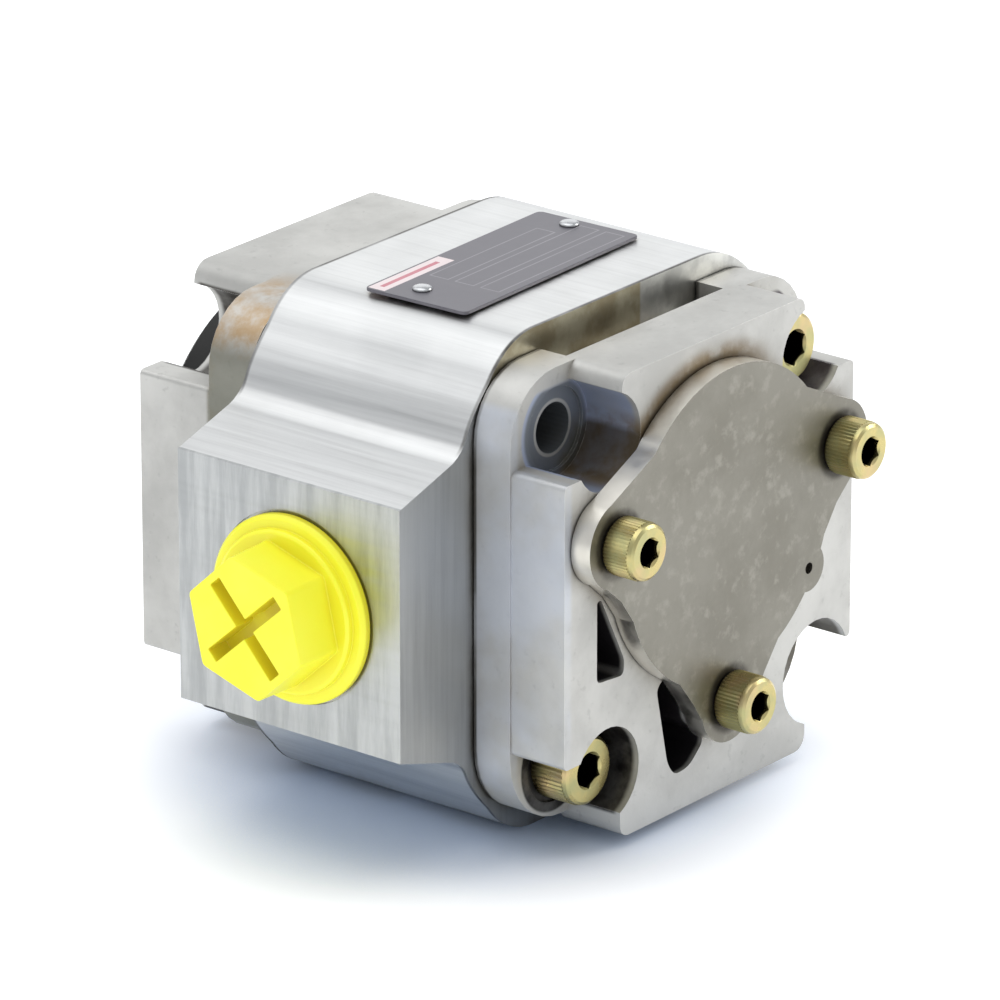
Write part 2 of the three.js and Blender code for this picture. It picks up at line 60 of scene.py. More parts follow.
REAR_LOW, REAR_HIGH = span("rear_cover")
FRONT_LOW, FRONT_HIGH = span("front_cover")
BODY_LOW, BODY_HIGH = span("housing")
PLATE_LOW, PLATE_HIGH = span("cover_plate")

COVER_HALF_W = REAR_HIGH.x
COVER_TOP = REAR_HIGH.z
COVER_BOTTOM = REAR_LOW.z + 3
ARM_BOTTOM = REAR_LOW.z
TOP_CORNER = 15
LOW_CORNER = 18
ARM_DEPTH = 14.4
RIM_R = 2.3
RECESS = (-29, 26)
RECESS_FLOOR = 47
ARM_HALF_W = COVER_HALF_W - 0.4
ARM_SPAN_Z = 32.3
BOLT_X = 36
BOLT_Z = 38
BOLT_BORE_R = 5.6
SPOT_R = 9.4
FRONT_BASE = 97.5
FLANGE_FACE = 117.5
PILOT_R = 40
SHAFT_BORE_R = 13
PORT_Y = 53.5
SUCTION_BORE_R = 15.3
SUCTION_SPOT_R = 21.7
PRESSURE_BORE_R = 11.3
PRESSURE_SPOT_R = 16.7
RING_OFFSET = 7.5
CHAMBER_R = 33.3
PLATE_R = 36
PLATE_Z = 10
LOBE_R = 10
LOBES = [(-39.2, 17.3), (39.2, 17.3), (0.3, -30)]
PLATE_EAR = (28.4, -8.5)
PLATE_EAR_R = 5.4
CORNERS = [(1, 1), (-1, 1), (-1, -1), (1, -1)]
# For each corner: end of the upright arm, its rounding, and the hollow's x, z and radius
REAR_NOTCHES = [
    (33, 2.5, 36, 38, 11), (31.5, 3, 36, 38, 11), (31.5, 3, 36, 38, 11), (34.6, 3.5, 38.5, 37, 12),
]
FRONT_NOTCHES = [(32.5, 4.4, 34.5, 37, 10.3)] * 4


# ---------------------------------------------------------------------------
# Outlines, as lists of (x, z)
# ---------------------------------------------------------------------------
def arc(cx, cz, radius, start, end, steps=12):
    angles = [math.radians(start + (end - start) * i / steps) for i in range(steps + 1)]
    return [(cx + radius * math.cos(a), cz + radius * math.sin(a)) for a in angles]


def quad(start, control, end, steps=10):
    """Points of a quadratic curve after its start."""
    points = []
    for i in range(1, steps + 1):
        t = i / steps
        points.append(tuple(
            (1 - t) ** 2 * a + 2 * t * (1 - t) * b + t * t * c for a, b, c in zip(start, control, end)
        ))
    return points


def rounded(points, radius, steps=4):
    """The polygon with each corner rounded off."""
    out = []
    for i, here in enumerate(points):
        corner = Vector(here)
        before = Vector(points[i - 1]) - corner
        after = Vector(points[(i + 1) % len(points)]) - corner
        reach = min(radius, before.length * 0.45, after.length * 0.45)
        start = corner + before.normalized() * reach
        end = corner + after.normalized() * reach
        out += [tuple(start)] + quad(start, corner, end, steps)
    return out


def box_outline(x0, x1, z0, z1):
    return [(x0, z0), (x1, z0), (x1, z1), (x0, z1)]


# ---------------------------------------------------------------------------
# Solids. Each is a mesh object in millimetres until placed() moves it into the frame.
# ---------------------------------------------------------------------------
def new_object(name, bm):
    bmesh.ops.recalc_face_normals(bm, faces=bm.faces)
    mesh = bpy.data.meshes.new(name)
    bm.to_mesh(mesh)
    bm.free()
    obj = bpy.data.objects.new(name, mesh)
    bpy.context.scene.collection.objects.link(obj)
    return obj


def prism(outline, y0, y1, name="solid"):
    """The outline drawn out along Y."""
    bm = bmesh.new()
    near = [bm.verts.new((x, y0, z)) for x, z in outline]
    far = [bm.verts.new((x, y1, z)) for x, z in outline]
    bm.faces.new(near)
    bm.faces.new(far[::-1])
    for i in range(len(outline)):
        j = (i + 1) % len(outline)
        bm.faces.new((near[j], near[i], far[i], far[j]))
    return new_object(name, bm)


def revolved(profile, x=0.0, z=0.0, steps=48, name="solid", axis="Y"):
    """A closed profile of (radius, y) turned about the Y direction through x, z.
    With axis Z, the profile's y runs upward instead."""
    bm = bmesh.new()
    rings = []
    for radius, y in profile:
        if radius < 1e-6:
            rings.append([bm.verts.new((0, y, 0))])
            continue
        angles = [2 * math.pi * i / steps for i in range(steps)]
        rings.append([bm.verts.new((radius * math.cos(a), y, radius * math.sin(a))) for a in angles])
    for k, ring in enumerate(rings):
        following = rings[(k + 1) % len(rings)]
        if len(ring) == 1 and len(following) == 1:
            continue
        for i in range(steps):
            j = (i + 1) % steps
            corners = [ring[i % len(ring)], following[i % len(following)],
                       following[j % len(following)], ring[j % len(ring)]]
            bm.faces.new(dict.fromkeys(corners))
    turn = {"Y": Matrix.Identity(4), "Z": Matrix.Rotation(math.radians(90), 4, "X")}[axis]
    bm.transform(Matrix.Translation((x, 0, z)) @ turn)
    return new_object(name, bm)


def rod(radius, y0, y1, x=0.0, z=0.0, steps=40, name="solid"):
    return revolved([(0, y0), (radius, y0), (radius, y1), (0, y1)], x, z, steps, name)


def moved(obj, matrix):
    obj.data.transform(matrix)
    return obj


def upright(outline, z0, z1):
    """An outline of (x, y) drawn out along Z."""
    flat = Matrix(((1, 0, 0), (0, 0, 1), (0, -1, 0))).to_4x4()
    return moved(prism(outline, -z1, -z0), flat)


def baked(obj):
    """Replaces the object's mesh by what its modifiers make of it."""
    bpy.context.view_layer.update()
    graph = bpy.context.evaluated_depsgraph_get()
    made = bpy.data.meshes.new_from_object(obj.evaluated_get(graph))
    obj.modifiers.clear()
    old = obj.data
    obj.data = made
    bpy.data.meshes.remove(old)
    return obj


def combine(base, tools, operation):
    for tool in tools:
        step = base.modifiers.new("boolean", "BOOLEAN")
        step.operation = operation
        step.solver = "EXACT"
        step.object = tool
    baked(base)
    for tool in tools:
        bpy.data.objects.remove(tool)
    return base


def cut(base, *tools):
    return combine(base, tools, "DIFFERENCE")


def join(base, *tools):
    return combine(base, tools, "UNION")


def soften(obj, radius, sharper=30, steps=2, width_at=None, edge_slot=0):
    """Rounds the edges that turn by more than the angle. width_at(middle) gives one edge's
    radius. Faces on the rounded edges take the material in edge_slot."""
    bm = bmesh.new()
    bm.from_mesh(obj.data)
    bmesh.ops.remove_doubles(bm, verts=bm.verts, dist=0.01)
    bmesh.ops.dissolve_limit(bm, angle_limit=math.radians(0.5), verts=bm.verts, edges=bm.edges)
    layers = bm.edges.layers.float
    layer = layers.get("bevel_weight_edge") or layers.new("bevel_weight_edge")
    for edge in bm.edges:
        if len(edge.link_faces) != 2 or edge.calc_face_angle(0) < math.radians(sharper):
            continue
        middle = (edge.verts[0].co + edge.verts[1].co) / 2
        edge[layer] = (width_at(middle) if width_at else radius) / radius
    bm.to_mesh(obj.data)
    bm.free()
    bevel = obj.modifiers.new("bevel", "BEVEL")
    bevel.limit_method = "WEIGHT"
    bevel.width = radius
    bevel.segments = steps
    bevel.material = edge_slot
    bevel.use_clamp_overlap = True
    bevel.miter_outer = "MITER_ARC"
    return obj


def tidied(mesh):
    """Merges points closer than a few micrometres and drops loose edges."""
    bm = bmesh.new()
    bm.from_mesh(mesh)
    bmesh.ops.remove_doubles(bm, verts=bm.verts, dist=0.003)
    bmesh.ops.dissolve_degenerate(bm, dist=0.003, edges=bm.edges)
    loose = [edge for edge in bm.edges if not edge.link_faces]
    bmesh.ops.delete(bm, geom=loose, context="EDGES")
    bm.to_mesh(mesh)
    bm.free()


def placed(obj, name, body, materials, replaced=(), smooth=35):
    """Bakes the piece, moves it into the frame, and gives it its body, finish and name."""
    for material in materials:
        obj.data.materials.append(material)
    baked(obj)
    tidied(obj.data)
    obj.name = name
    obj.data.name = name
    obj.data.transform(Matrix.Translation(ORIGIN) @ Matrix.Scale(MM, 4))
    for polygon in obj.data.polygons:
        polygon.use_smooth = True
    obj.data.set_sharp_from_angle(angle=math.radians(smooth))
    normals = obj.modifiers.new("normals", "WEIGHTED_NORMAL")
    normals.keep_sharp = True
    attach(obj, body)
    if replaced:
        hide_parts(*replaced)
    return obj


# ---------------------------------------------------------------------------
# Materials
# ---------------------------------------------------------------------------
class Nodes:
    """A material's node tree, built with short calls."""

    def __init__(self, name):
        self.material = bpy.data.materials.new(name)
        self.material.use_nodes = True
        self.tree = self.material.node_tree
        self.shader = self.tree.nodes["Principled BSDF"]
        self.place = self.node("ShaderNodeTexCoord").outputs["Object"]
        self.spot = self.vector("MULTIPLY", self.vector("SUBTRACT", self.place, ORIGIN), (1 / MM,) * 3)

    def node(self, kind, **values):
        made = self.tree.nodes.new(kind)
        for key, value in values.items():
            if hasattr(made, key):
                setattr(made, key, value)
            else:
                made.inputs[key.replace("_", " ")].default_value = value
        return made

    def link(self, source, target):
        self.tree.links.new(source, target)

    def noise(self, scale, detail=4.0, rough=0.55, stretch=(1, 1, 1), shift=(0, 0, 0)):
        """Noise of the given scale per metre, stretched by dividing along each axis."""
        mapping = self.node("ShaderNodeMapping")
        mapping.inputs["Location"].default_value = shift
        mapping.inputs["Scale"].default_value = stretch
        self.link(self.place, mapping.inputs["Vector"])
        made = self.node("ShaderNodeTexNoise", Scale=scale, Detail=detail, Roughness=rough)
        self.link(mapping.outputs["Vector"], made.inputs["Vector"])
        return made.outputs["Fac"]

    def span(self, value, low, high, to_low, to_high):
        made = self.node("ShaderNodeMapRange", interpolation_type="SMOOTHSTEP")
        made.inputs["From Min"].default_value = low
        made.inputs["From Max"].default_value = high
        made.inputs["To Min"].default_value = to_low
        made.inputs["To Max"].default_value = to_high
        self.link(value, made.inputs["Value"])
        return made.outputs["Result"]

    def math(self, operation, a, b):
        made = self.node("ShaderNodeMath", operation=operation)
        for socket, value in zip(made.inputs, (a, b)):
            if isinstance(value, (int, float)):
                socket.default_value = value
            else:
                self.link(value, socket)
        return made.outputs[0]

    def vector(self, operation, a, b):
        made = self.node("ShaderNodeVectorMath", operation=operation)
        for socket, value in zip(made.inputs, (a, b)):
            if isinstance(value, (tuple, Vector)):
                socket.default_value = value
            else:
                self.link(value, socket)
        return made.outputs["Value" if operation == "DISTANCE" else "Vector"]

    def near(self, centre, inner, outer):
        """1 within the inner distance of a place, 0 beyond the outer one, in millimetres.
        A coordinate of None is left out, so two of them give the distance from a line."""
        kept = tuple(0.0 if c is None else 1.0 for c in centre)
        flat = self.vector("MULTIPLY", self.spot, kept)
        distance = self.vector("DISTANCE", flat, tuple(float(c or 0) for c in centre))
        return self.span(distance, inner, outer, 1, 0)

    def beyond(self, axis, start, end):
        """0 before start along the axis and 1 past end, in millimetres. They may be swapped."""
        split = self.node("ShaderNodeSeparateXYZ")
        self.link(self.spot, split.inputs["Vector"])
        if start < end:
            return self.span(split.outputs[axis], start, end, 0, 1)
        return self.span(split.outputs[axis], end, start, 1, 0)

    def all(self, first, *others):
        for other in others:
            first = self.math("MULTIPLY", first, other)
        return first

    def mix(self, fac, a, b, blend="MIX"):
        made = self.node("ShaderNodeMix", data_type="RGBA", blend_type=blend)
        self.set(made.inputs[0], fac)
        self.set(made.inputs[6], a)
        self.set(made.inputs[7], b)
        return made.outputs[2]

    def set(self, socket, value):
        if isinstance(value, (int, float)):
            socket.default_value = value
        elif isinstance(value, tuple):
            socket.default_value = (*value, 1.0)
        else:
            self.link(value, socket)

    def crevice(self, distance, low=0.35, high=0.95):
        """1 where the surface lies in a corner or gap, 0 in the open."""
        made = self.node("ShaderNodeAmbientOcclusion", samples=6)
        made.inputs["Distance"].default_value = distance
        return self.span(made.outputs["AO"], low, high, 1.0, 0.0)

    def bump(self, height, strength, distance, base=None):
        made = self.node("ShaderNodeBump")
        made.inputs["Strength"].default_value = strength
        made.inputs["Distance"].default_value = distance
        self.link(height, made.inputs["Height"])
        if base is not None:
            self.link(base, made.inputs["Normal"])
        return made.outputs["Normal"]

    def done(self, color=None, rough=None, normal=None, **fixed):
        if color is not None:
            self.set(self.shader.inputs["Base Color"], color)
        if rough is not None:
            self.set(self.shader.inputs["Roughness"], rough)
        if normal is not None:
            self.link(normal, self.shader.inputs["Normal"])
        for key, value in fixed.items():
            self.shader.inputs[key.replace("_", " ")].default_value = value
        return self.material


# Middle of each socket head, the reach of its socket and the place where the socket's painted shade begins
SOCKETS = [(x, z, 3.5, PLATE_LOW.y - 7.6) for x, z in LOBES]
for side in (1, -1):
    SOCKETS.append((side * BOLT_X, side * BOLT_Z, 4.2, span("assembly_screw_1")[0].y + 0.4))
# Brown of old oil, laid where occlusion finds corners and creases, so it is painted shade as well
OIL_AND_SHADE = (0.13, 0.095, 0.05)
# Near black: grime on the joint lines, and painted shade in corners, notches and round screw heads
DIRT_AND_SHADE = (0.045, 0.04, 0.032)


def drawn_aluminium(name, color, lines, rough=(0.3, 0.46), oil_and_shade=0.6, marks=None):
    """Machined or drawn aluminium whose fine lines run along the axis with the small stretch."""
    n = Nodes(name)
    patches = n.noise(26, 5, 0.6)
    streaks = n.noise(1.0, 6, 0.65, lines)
    fine = n.noise(1.0, 3, 0.7, tuple(v * 3.1 for v in lines), (3, 1, 2))
    tone = n.mix(n.span(patches, 0.35, 0.7, 0, 0.55), color, tuple(c * 0.86 for c in color))
    tone = n.mix(n.span(streaks, 0.42, 0.7, 0, 0.6), tone, tuple(min(1, c * 1.12) for c in color))
    tone = n.mix(n.span(streaks, 0.5, 0.28, 0, 0.35), tone, tuple(c * 0.72 for c in color))
    # Creases found by occlusion turn oil brown: old oil and painted shade together
    crease_oil_and_shade = n.math("MULTIPLY", n.crevice(0.004), n.span(n.noise(90, 5, 0.6), 0.3, 0.62, 0.15, 1))
    tone = n.mix(n.math("MULTIPLY", crease_oil_and_shade, oil_and_shade), tone, OIL_AND_SHADE)
    tone = marks(n, tone) if marks else tone
    surface = n.math("ADD", n.span(patches, 0.3, 0.75, 0, 0.55), n.span(streaks, 0.3, 0.7, 0, 0.45))
    roughness = n.span(surface, 0, 1, rough[0], rough[1])
    normal = n.bump(streaks, 0.35, 0.00004)
    normal = n.bump(fine, 0.3, 0.00002, normal)
    return n.done(tone, roughness, normal, Metallic=1.0)


def cast_aluminium(name, color, rough=(0.42, 0.6), oil_and_shade=0.75, grain=1.0, marks=None):
    """Sand- or die-cast aluminium: pebbly grain, soft blotches, and old oil with painted shade in the
    corners.
    """
    n = Nodes(name)
    blotches = n.noise(38, 6, 0.62)
    specks = n.noise(420, 3, 0.6, shift=(1, 2, 3))
    pebble = n.noise(1300, 4, 0.6)
    tone = n.mix(n.span(blotches, 0.38, 0.68, 0, 0.7), color, tuple(c * 0.8 for c in color))
    tone = n.mix(n.span(specks, 0.6, 0.74, 0, 0.3), tone, tuple(c * 0.55 for c in color))
    # Corners found by occlusion turn oil brown: old oil and painted shade together
    corners = n.math("MULTIPLY", n.crevice(0.006, 0.3, 0.9), n.span(blotches, 0.32, 0.6, 0.25, 1))
    tone = n.mix(n.math("MULTIPLY", corners, oil_and_shade), tone, OIL_AND_SHADE)
    tone = marks(n, tone) if marks else tone
    roughness = n.span(blotches, 0.3, 0.72, rough[0], rough[1])
    normal = n.bump(pebble, 0.28 * grain, 0.00012)
    normal = n.bump(n.noise(260, 3, 0.5), 0.2 * grain, 0.00025, normal)
    return n.done(tone, roughness, normal, Metallic=0.7)


def plate_metal(name):
    """Ground cover plate, mottled brown-grey, with old oil and painted shade in its corners and a patchy
    painted shadow round each screw head.
    """
    n = Nodes(name)
    cloud = n.noise(34, 7, 0.66)
    fleck = n.noise(240, 4, 0.65, shift=(4, 1, 0))
    lines = n.noise(1.0, 4, 0.7, (2400, 60, 240))
    tone = n.mix(n.span(cloud, 0.34, 0.68, 0, 1), (0.26, 0.249, 0.214), (0.19, 0.18, 0.15))
    tone = n.mix(n.span(fleck, 0.5, 0.72, 0, 0.4), tone, (0.38, 0.365, 0.32))
    # Corners found by occlusion go dark: old oil and painted shade together
    tone = n.mix(n.math("MULTIPLY", n.crevice(0.004), 0.75), tone, DIRT_AND_SHADE)
    # A patchy dark ring just outside each screw head: painted shadow under the head
    for x, z in LOBES:
        ring = n.all(n.near((x, None, z), 6.9, 8.6), n.span(n.noise(200, 3), 0.3, 0.6, 0.35, 0.9))
        tone = n.mix(ring, tone, DIRT_AND_SHADE)
    roughness = n.span(cloud, 0.3, 0.7, 0.5, 0.36)
    normal = n.bump(lines, 0.25, 0.00003)
    normal = n.bump(fleck, 0.22, 0.00008, normal)
    return n.done(tone, roughness, normal, Metallic=0.85)


def yellow_zinc(name):
    """Yellow passivated zinc: gold that drifts to green and pink."""
    n = Nodes(name)
    drift = n.noise(150, 4, 0.6)
    other = n.noise(95, 3, 0.6, shift=(7, 3, 1))
    tone = n.mix(n.span(drift, 0.35, 0.65, 0, 1), (0.56, 0.47, 0.20), (0.45, 0.43, 0.21))
    tone = n.mix(n.span(other, 0.5, 0.72, 0, 0.6), tone, (0.62, 0.44, 0.25))
    # Corners found by occlusion go dark brown: dirt and painted shade together
    tone = n.mix(n.math("MULTIPLY", n.crevice(0.003), 0.8), tone, (0.09, 0.07, 0.035))
    # Each hex socket is painted near black below its rim: painted shade inside the socket
    for x, z, radius, depth in SOCKETS:
        socket = n.all(n.near((x, None, z), radius, radius + 0.25), n.beyond("Y", depth, depth + 0.8))
        tone = n.mix(socket, tone, (0.012, 0.010, 0.005))
    normal = n.bump(n.noise(900, 3, 0.6), 0.2, 0.00005)
    return n.done(tone, n.span(drift, 0.3, 0.7, 0.24, 0.4), normal, Metallic=1.0)


def steel(name, color=(0.56, 0.57, 0.58), rough=(0.22, 0.36), lines=(900, 60, 900)):
    n = Nodes(name)
    streaks = n.noise(1.0, 5, 0.65, lines)
    patches = n.noise(60, 4, 0.6)
    tone = n.mix(n.span(patches, 0.35, 0.7, 0, 0.5), color, tuple(c * 0.8 for c in color))
    # Corners found by occlusion go dark: dirt and painted shade together
    tone = n.mix(n.math("MULTIPLY", n.crevice(0.003), 0.6), tone, DIRT_AND_SHADE)
    return n.done(tone, n.span(streaks, 0.3, 0.7, rough[0], rough[1]),
                  n.bump(streaks, 0.25, 0.00003), Metallic=1.0)


def yellow_plastic(name):
    n = Nodes(name)
    soft = n.noise(60, 3, 0.5)
    skin = n.noise(1500, 2, 0.5)
    tone = n.mix(n.span(soft, 0.3, 0.7, 0, 1), (0.95, 0.94, 0.05), (0.92, 0.90, 0.03))
    # Slots and the hexagon's foot, found by occlusion, go darker orange: painted shade
    tone = n.mix(n.math("MULTIPLY", n.crevice(0.009, 0.25, 1.0), 0.85), tone, (0.66, 0.53, 0.0))
    normal = n.bump(skin, 0.12, 0.00005)
    normal = n.bump(soft, 0.3, 0.0006, normal)
    # The emission makes the plastic glow a little yellow: painted light
    return n.done(tone, n.span(soft, 0.3, 0.7, 0.3, 0.44), normal,
                  Subsurface_Weight=0.12, Subsurface_Scale=0.003,
                  Emission_Color=(0.95, 0.93, 0.08, 1.0), Emission_Strength=0.08)


def rubber(name):
    n = Nodes(name)
    grain = n.noise(900, 3, 0.6)
    tone = n.mix(grain, (0.03, 0.03, 0.03), (0.055, 0.053, 0.05))
    return n.done(tone, n.span(grain, 0.3, 0.7, 0.55, 0.75), n.bump(grain, 0.2, 0.00005))


def bronze(name):
    n = Nodes(name)
    cloud = n.noise(80, 5, 0.6)
    tone = n.mix(n.span(cloud, 0.35, 0.68, 0, 1), (0.62, 0.42, 0.19), (0.45, 0.29, 0.12))
    normal = n.bump(n.noise(1.0, 4, 0.6, (1500, 50, 1500)), 0.25, 0.00003)
    return n.done(tone, n.span(cloud, 0.3, 0.7, 0.26, 0.42), normal, Metallic=1.0)


def bolt_ways(n, tone, notches, tones, inside):
    """Painted shade with old oil in the four corner notches, each in its own tone, and bores painted near
    black as shade.
    """
    for (sx, sz), notch, oil in zip(CORNERS, notches, tones):
        way = (sx * BOLT_X, None, sz * BOLT_Z)
        hollow = (sx * notch[2], None, sz * notch[3])
        notch_shade_patches = n.span(n.noise(130, 4, 0.6, shift=(sx, sz, 3)), 0.3, 0.62, 0.8, 1)
        tone = n.mix(n.all(n.near(hollow, notch[4] + 0.2, notch[4] + 0.9), notch_shade_patches, inside), tone, oil)
        # Bolt bores painted near black: painted shade in the holes
        tone = n.mix(n.near(way, BOLT_BORE_R - 0.2, BOLT_BORE_R + 0.15), tone, (0.005, 0.005, 0.006))
    return tone


def rear_cover_marks(n, tone):
    """Painted bluish reflection on the port side, the joint line, painted shade with old oil in the notches,
    pockets painted near black as shade, painted shade on the free notch's floor with a painted highlight
    round its bore, and old oil round the cover plate with painted shade in the crease at its foot."""
    patches = n.span(n.noise(30, 4, 0.6, shift=(1, 1, 4)), 0.35, 0.65, 0.1, 0.7)
    # Patchy blue-grey on the faces toward the port side: painted reflection of a bluish surround
    tone = n.mix(n.all(n.beyond("X", -48, -49.5), patches), tone, (0.58, 0.62, 0.70))
    worn = n.span(n.noise(45, 5), 0.3, 0.6, 0.4, 0.9)
    tone = n.mix(n.all(n.beyond("Y", REAR_HIGH.y - 1.0, REAR_HIGH.y - 0.4), worn), tone, DIRT_AND_SHADE)
    inside = n.all(n.beyond("Y", 0.6, 2.2), n.beyond("Z", 48.2, 46.8))
    tone = bolt_ways(n, tone, REAR_NOTCHES, NOTCH_SHADE_TONES, inside)
    smear = n.span(n.noise(70, 5, 0.62, shift=(2, 5, 1)), 0.34, 0.6, 0.1, 1)
    middle = (0, None, PLATE_Z)
    rim = n.all(n.near(middle, PLATE_R + 0.8, PLATE_R + 5.5), n.beyond("Z", 20, 28), smear)
    tone = n.mix(n.all(rim, n.beyond("X", 24, 10), 0.95), tone, (0.19, 0.135, 0.07))
    # A darker line in the crease at the plate's foot: painted shade with old oil
    line = n.all(n.near(middle, PLATE_R + 0.2, PLATE_R + 1.8), n.beyond("Z", 24, 30), n.beyond("X", 18, 6))
    tone = n.mix(n.all(line, 0.8), tone, (0.075, 0.055, 0.03))
    # The floor of the free top-left notch goes dark grey-green: painted shade
    free = (-BOLT_X, None, BOLT_Z)
    seat = n.all(n.near(free, 10, 11.2), n.beyond("Y", ARM_DEPTH - 0.4, ARM_DEPTH - 0.1),
                 n.beyond("Z", 48, 47))
    tone = n.mix(n.all(seat, 0.7), tone, (0.11, 0.115, 0.10))
    # A light ring on the bore's chamfer: painted highlight
    chamfer_highlight = n.all(n.near(free, 6.2, 6.6), n.math("SUBTRACT", 1, n.near(free, 5.6, 5.8)), seat)
    tone = n.mix(n.all(chamfer_highlight, 0.7), tone, (0.55, 0.54, 0.50))
    # Each pocket is painted near black: painted shade in the pocket
    for x, z, reach in POCKET_SHADE_SPOTS:
        pit = n.all(n.near((x, None, z), reach, reach + 1.5), n.beyond("Y", 0.4, 1.6))
        tone = n.mix(pit, tone, (0.02, 0.017, 0.02))
    return tone


def front_cover_marks(n, tone):
    """Painted shade with dirt in the notches, a brown oil mark on the upper corner, painted shade on the
    corner's lower left and on the lower arm's end, and the pilot's outer wall painted near black as shade.
    """
    inside = n.beyond("Y", FLANGE_FACE - 0.6, FLANGE_FACE - 2.2)
    # The notches darken: painted shade with dirt
    tone = bolt_ways(n, tone, FRONT_NOTCHES, [DIRT_AND_SHADE] * 4, inside)
    runs = n.span(n.noise(55, 6, 0.65, shift=(3, 3, 8)), 0.38, 0.62, 0, 1)
    corner = n.all(n.near((-46, 90, 44), 12, 26), n.beyond("Y", 99, 97.6), runs)
    tone = n.mix(n.all(corner, 0.85), tone, (0.42, 0.27, 0.12))
    # The lower part of the corner's left side goes dark olive: painted shade
    low = n.all(n.beyond("Z", 46, 40), n.beyond("X", -40, -46), n.beyond("Y", 99, 97.6))
    tone = n.mix(n.all(low, 0.75), tone, (0.14, 0.14, 0.10))
    # The lower arm's left end, near black: painted shade
    under = n.all(n.beyond("Z", -44, -46), n.beyond("X", -22, -26), n.beyond("Y", 98, 99),
                  n.beyond("Y", FLANGE_FACE - 0.4, FLANGE_FACE - 0.8))
    tone = n.mix(n.all(under, 0.92), tone, (0.012, 0.012, 0.012))
    # The pilot's outer wall, near black: painted shade
    axis = (0, None, 0)
    pilot = n.all(n.beyond("Y", FLANGE_FACE - 0.3, FLANGE_FACE + 0.2), n.near(axis, 41, 42),
                  n.math("SUBTRACT", 1, n.near(axis, 38.3, 39.0)))
    return n.mix(n.all(pilot, 0.97), tone, (0.006, 0.006, 0.006))


def seam_marks(n, tone):
    """Brushed port faces, and dark lines along the two joints of the housing."""
    rear = n.beyond("Y", BODY_LOW.y + 1.1, BODY_LOW.y + 0.5)
    front = n.beyond("Y", BODY_HIGH.y - 1.0, BODY_HIGH.y - 0.4)
    worn = n.span(n.noise(45, 5, 0.6), 0.3, 0.6, 0.45, 0.95)
    port_face = n.math("MAXIMUM", n.beyond("X", BODY_LOW.x + 0.8, BODY_LOW.x + 0.4),
                       n.beyond("X", BODY_HIGH.x - 0.8, BODY_HIGH.x - 0.4))
    brushed = n.span(n.noise(1.0, 5, 0.65, (40, 260, 26)), 0.32, 0.66, 0, 1)
    tone = n.mix(port_face, tone, n.mix(brushed, (0.36, 0.37, 0.37), (0.50, 0.51, 0.505)))
    return n.mix(n.all(n.math("MAXIMUM", rear, front), worn, n.beyond("X", -57, -54)), tone, DIRT_AND_SHADE)


def housing_marks(n, tone):
    """Dried oil on the end face where the rear cover's recess leaves it bare."""
    bare = n.all(n.beyond("Y", 25.4, 24.8), n.beyond("Z", 44, 46))
    cloud = n.span(n.noise(90, 5, 0.6), 0.35, 0.62, 0, 1)
    brown = n.mix(cloud, (0.47, 0.44, 0.33), (0.31, 0.27, 0.18))
    side = n.beyond("X", 6, 6.8)
    shade = n.mix(side, brown, n.mix(cloud, (0.66, 0.66, 0.62), (0.42, 0.42, 0.40)))
    return n.mix(bare, tone, shade)


# Painted shade with old oil in each corner notch of the rear cover, in the order of CORNERS
NOTCH_SHADE_TONES = [(0.06, 0.05, 0.06), (0.38, 0.43, 0.56), (0.012, 0.010, 0.011), (0.12, 0.11, 0.09)]
# Pockets of the rear cover, painted near black as shade: x, z and reach
POCKET_SHADE_SPOTS = [(-36, -7, 9.5), (-10, -34, 13.5)]
CAST_COLOR = (0.56, 0.555, 0.53)
HOUSING_COLOR = (0.64, 0.645, 0.64)
# How closely fine lines lie along each axis. They run along the axis with the small number.
ALONG_SHAFT = (700, 14, 700)
UPRIGHT = (700, 700, 22)

MAT = {
    "housing": drawn_aluminium("drawn_aluminium", HOUSING_COLOR, ALONG_SHAFT, marks=seam_marks),
    "milled": drawn_aluminium("milled_aluminium", (0.40, 0.405, 0.40), UPRIGHT, (0.34, 0.46),
                              marks=housing_marks),
    # The rounded edges take a lighter copy of the finish: painted highlight
    "edge": drawn_aluminium("highlight_aluminium_edge", (0.86, 0.86, 0.84), ALONG_SHAFT, (0.26, 0.36), 0.2,
                            marks=seam_marks),
    "rear_cast": cast_aluminium("rear_cast_aluminium", CAST_COLOR, marks=rear_cover_marks),
    "front_cast": cast_aluminium("front_cast_aluminium", CAST_COLOR, marks=front_cover_marks),
    # A lighter copy of the cast finish for the rounded edges: painted highlight
    "cast_edge": cast_aluminium("cast_aluminium_edge", (0.72, 0.715, 0.68), (0.36, 0.48), 0.4, 0.5),
    "plate": plate_metal("cover_plate_metal"),
    # Lighter metal for the plate's rounded edges and side faces: painted highlight and painted light
    "plate_edge": steel("plate_edge_metal", (0.80, 0.77, 0.70), (0.3, 0.42), (300, 300, 300)),
    "zinc": yellow_zinc("yellow_zinc"),
    "steel": steel("ground_steel"),
    "dark_steel": steel("dark_steel", (0.40, 0.40, 0.40), (0.3, 0.45)),
    "bronze": bronze("bearing_bronze"),
    "rubber": rubber("black_rubber"),
    "plastic": yellow_plastic("yellow_plastic"),
}


# ---------------------------------------------------------------------------
# Covers
# ---------------------------------------------------------------------------
def cover_outline(steps=8):
    """The rounded rectangle of a cover's base."""
    half_w, top, bottom = COVER_HALF_W, COVER_TOP, COVER_BOTTOM
    high, low = TOP_CORNER, LOW_CORNER
    return (
        arc(half_w - high, top - high, high, 0, 90, steps)
        + arc(-half_w + high, top - high, high, 90, 180, steps)
        + arc(-half_w + low, bottom + low, low, 180, 270, steps)
        + arc(half_w - low, bottom + low, low, 270, 360, steps)
    )


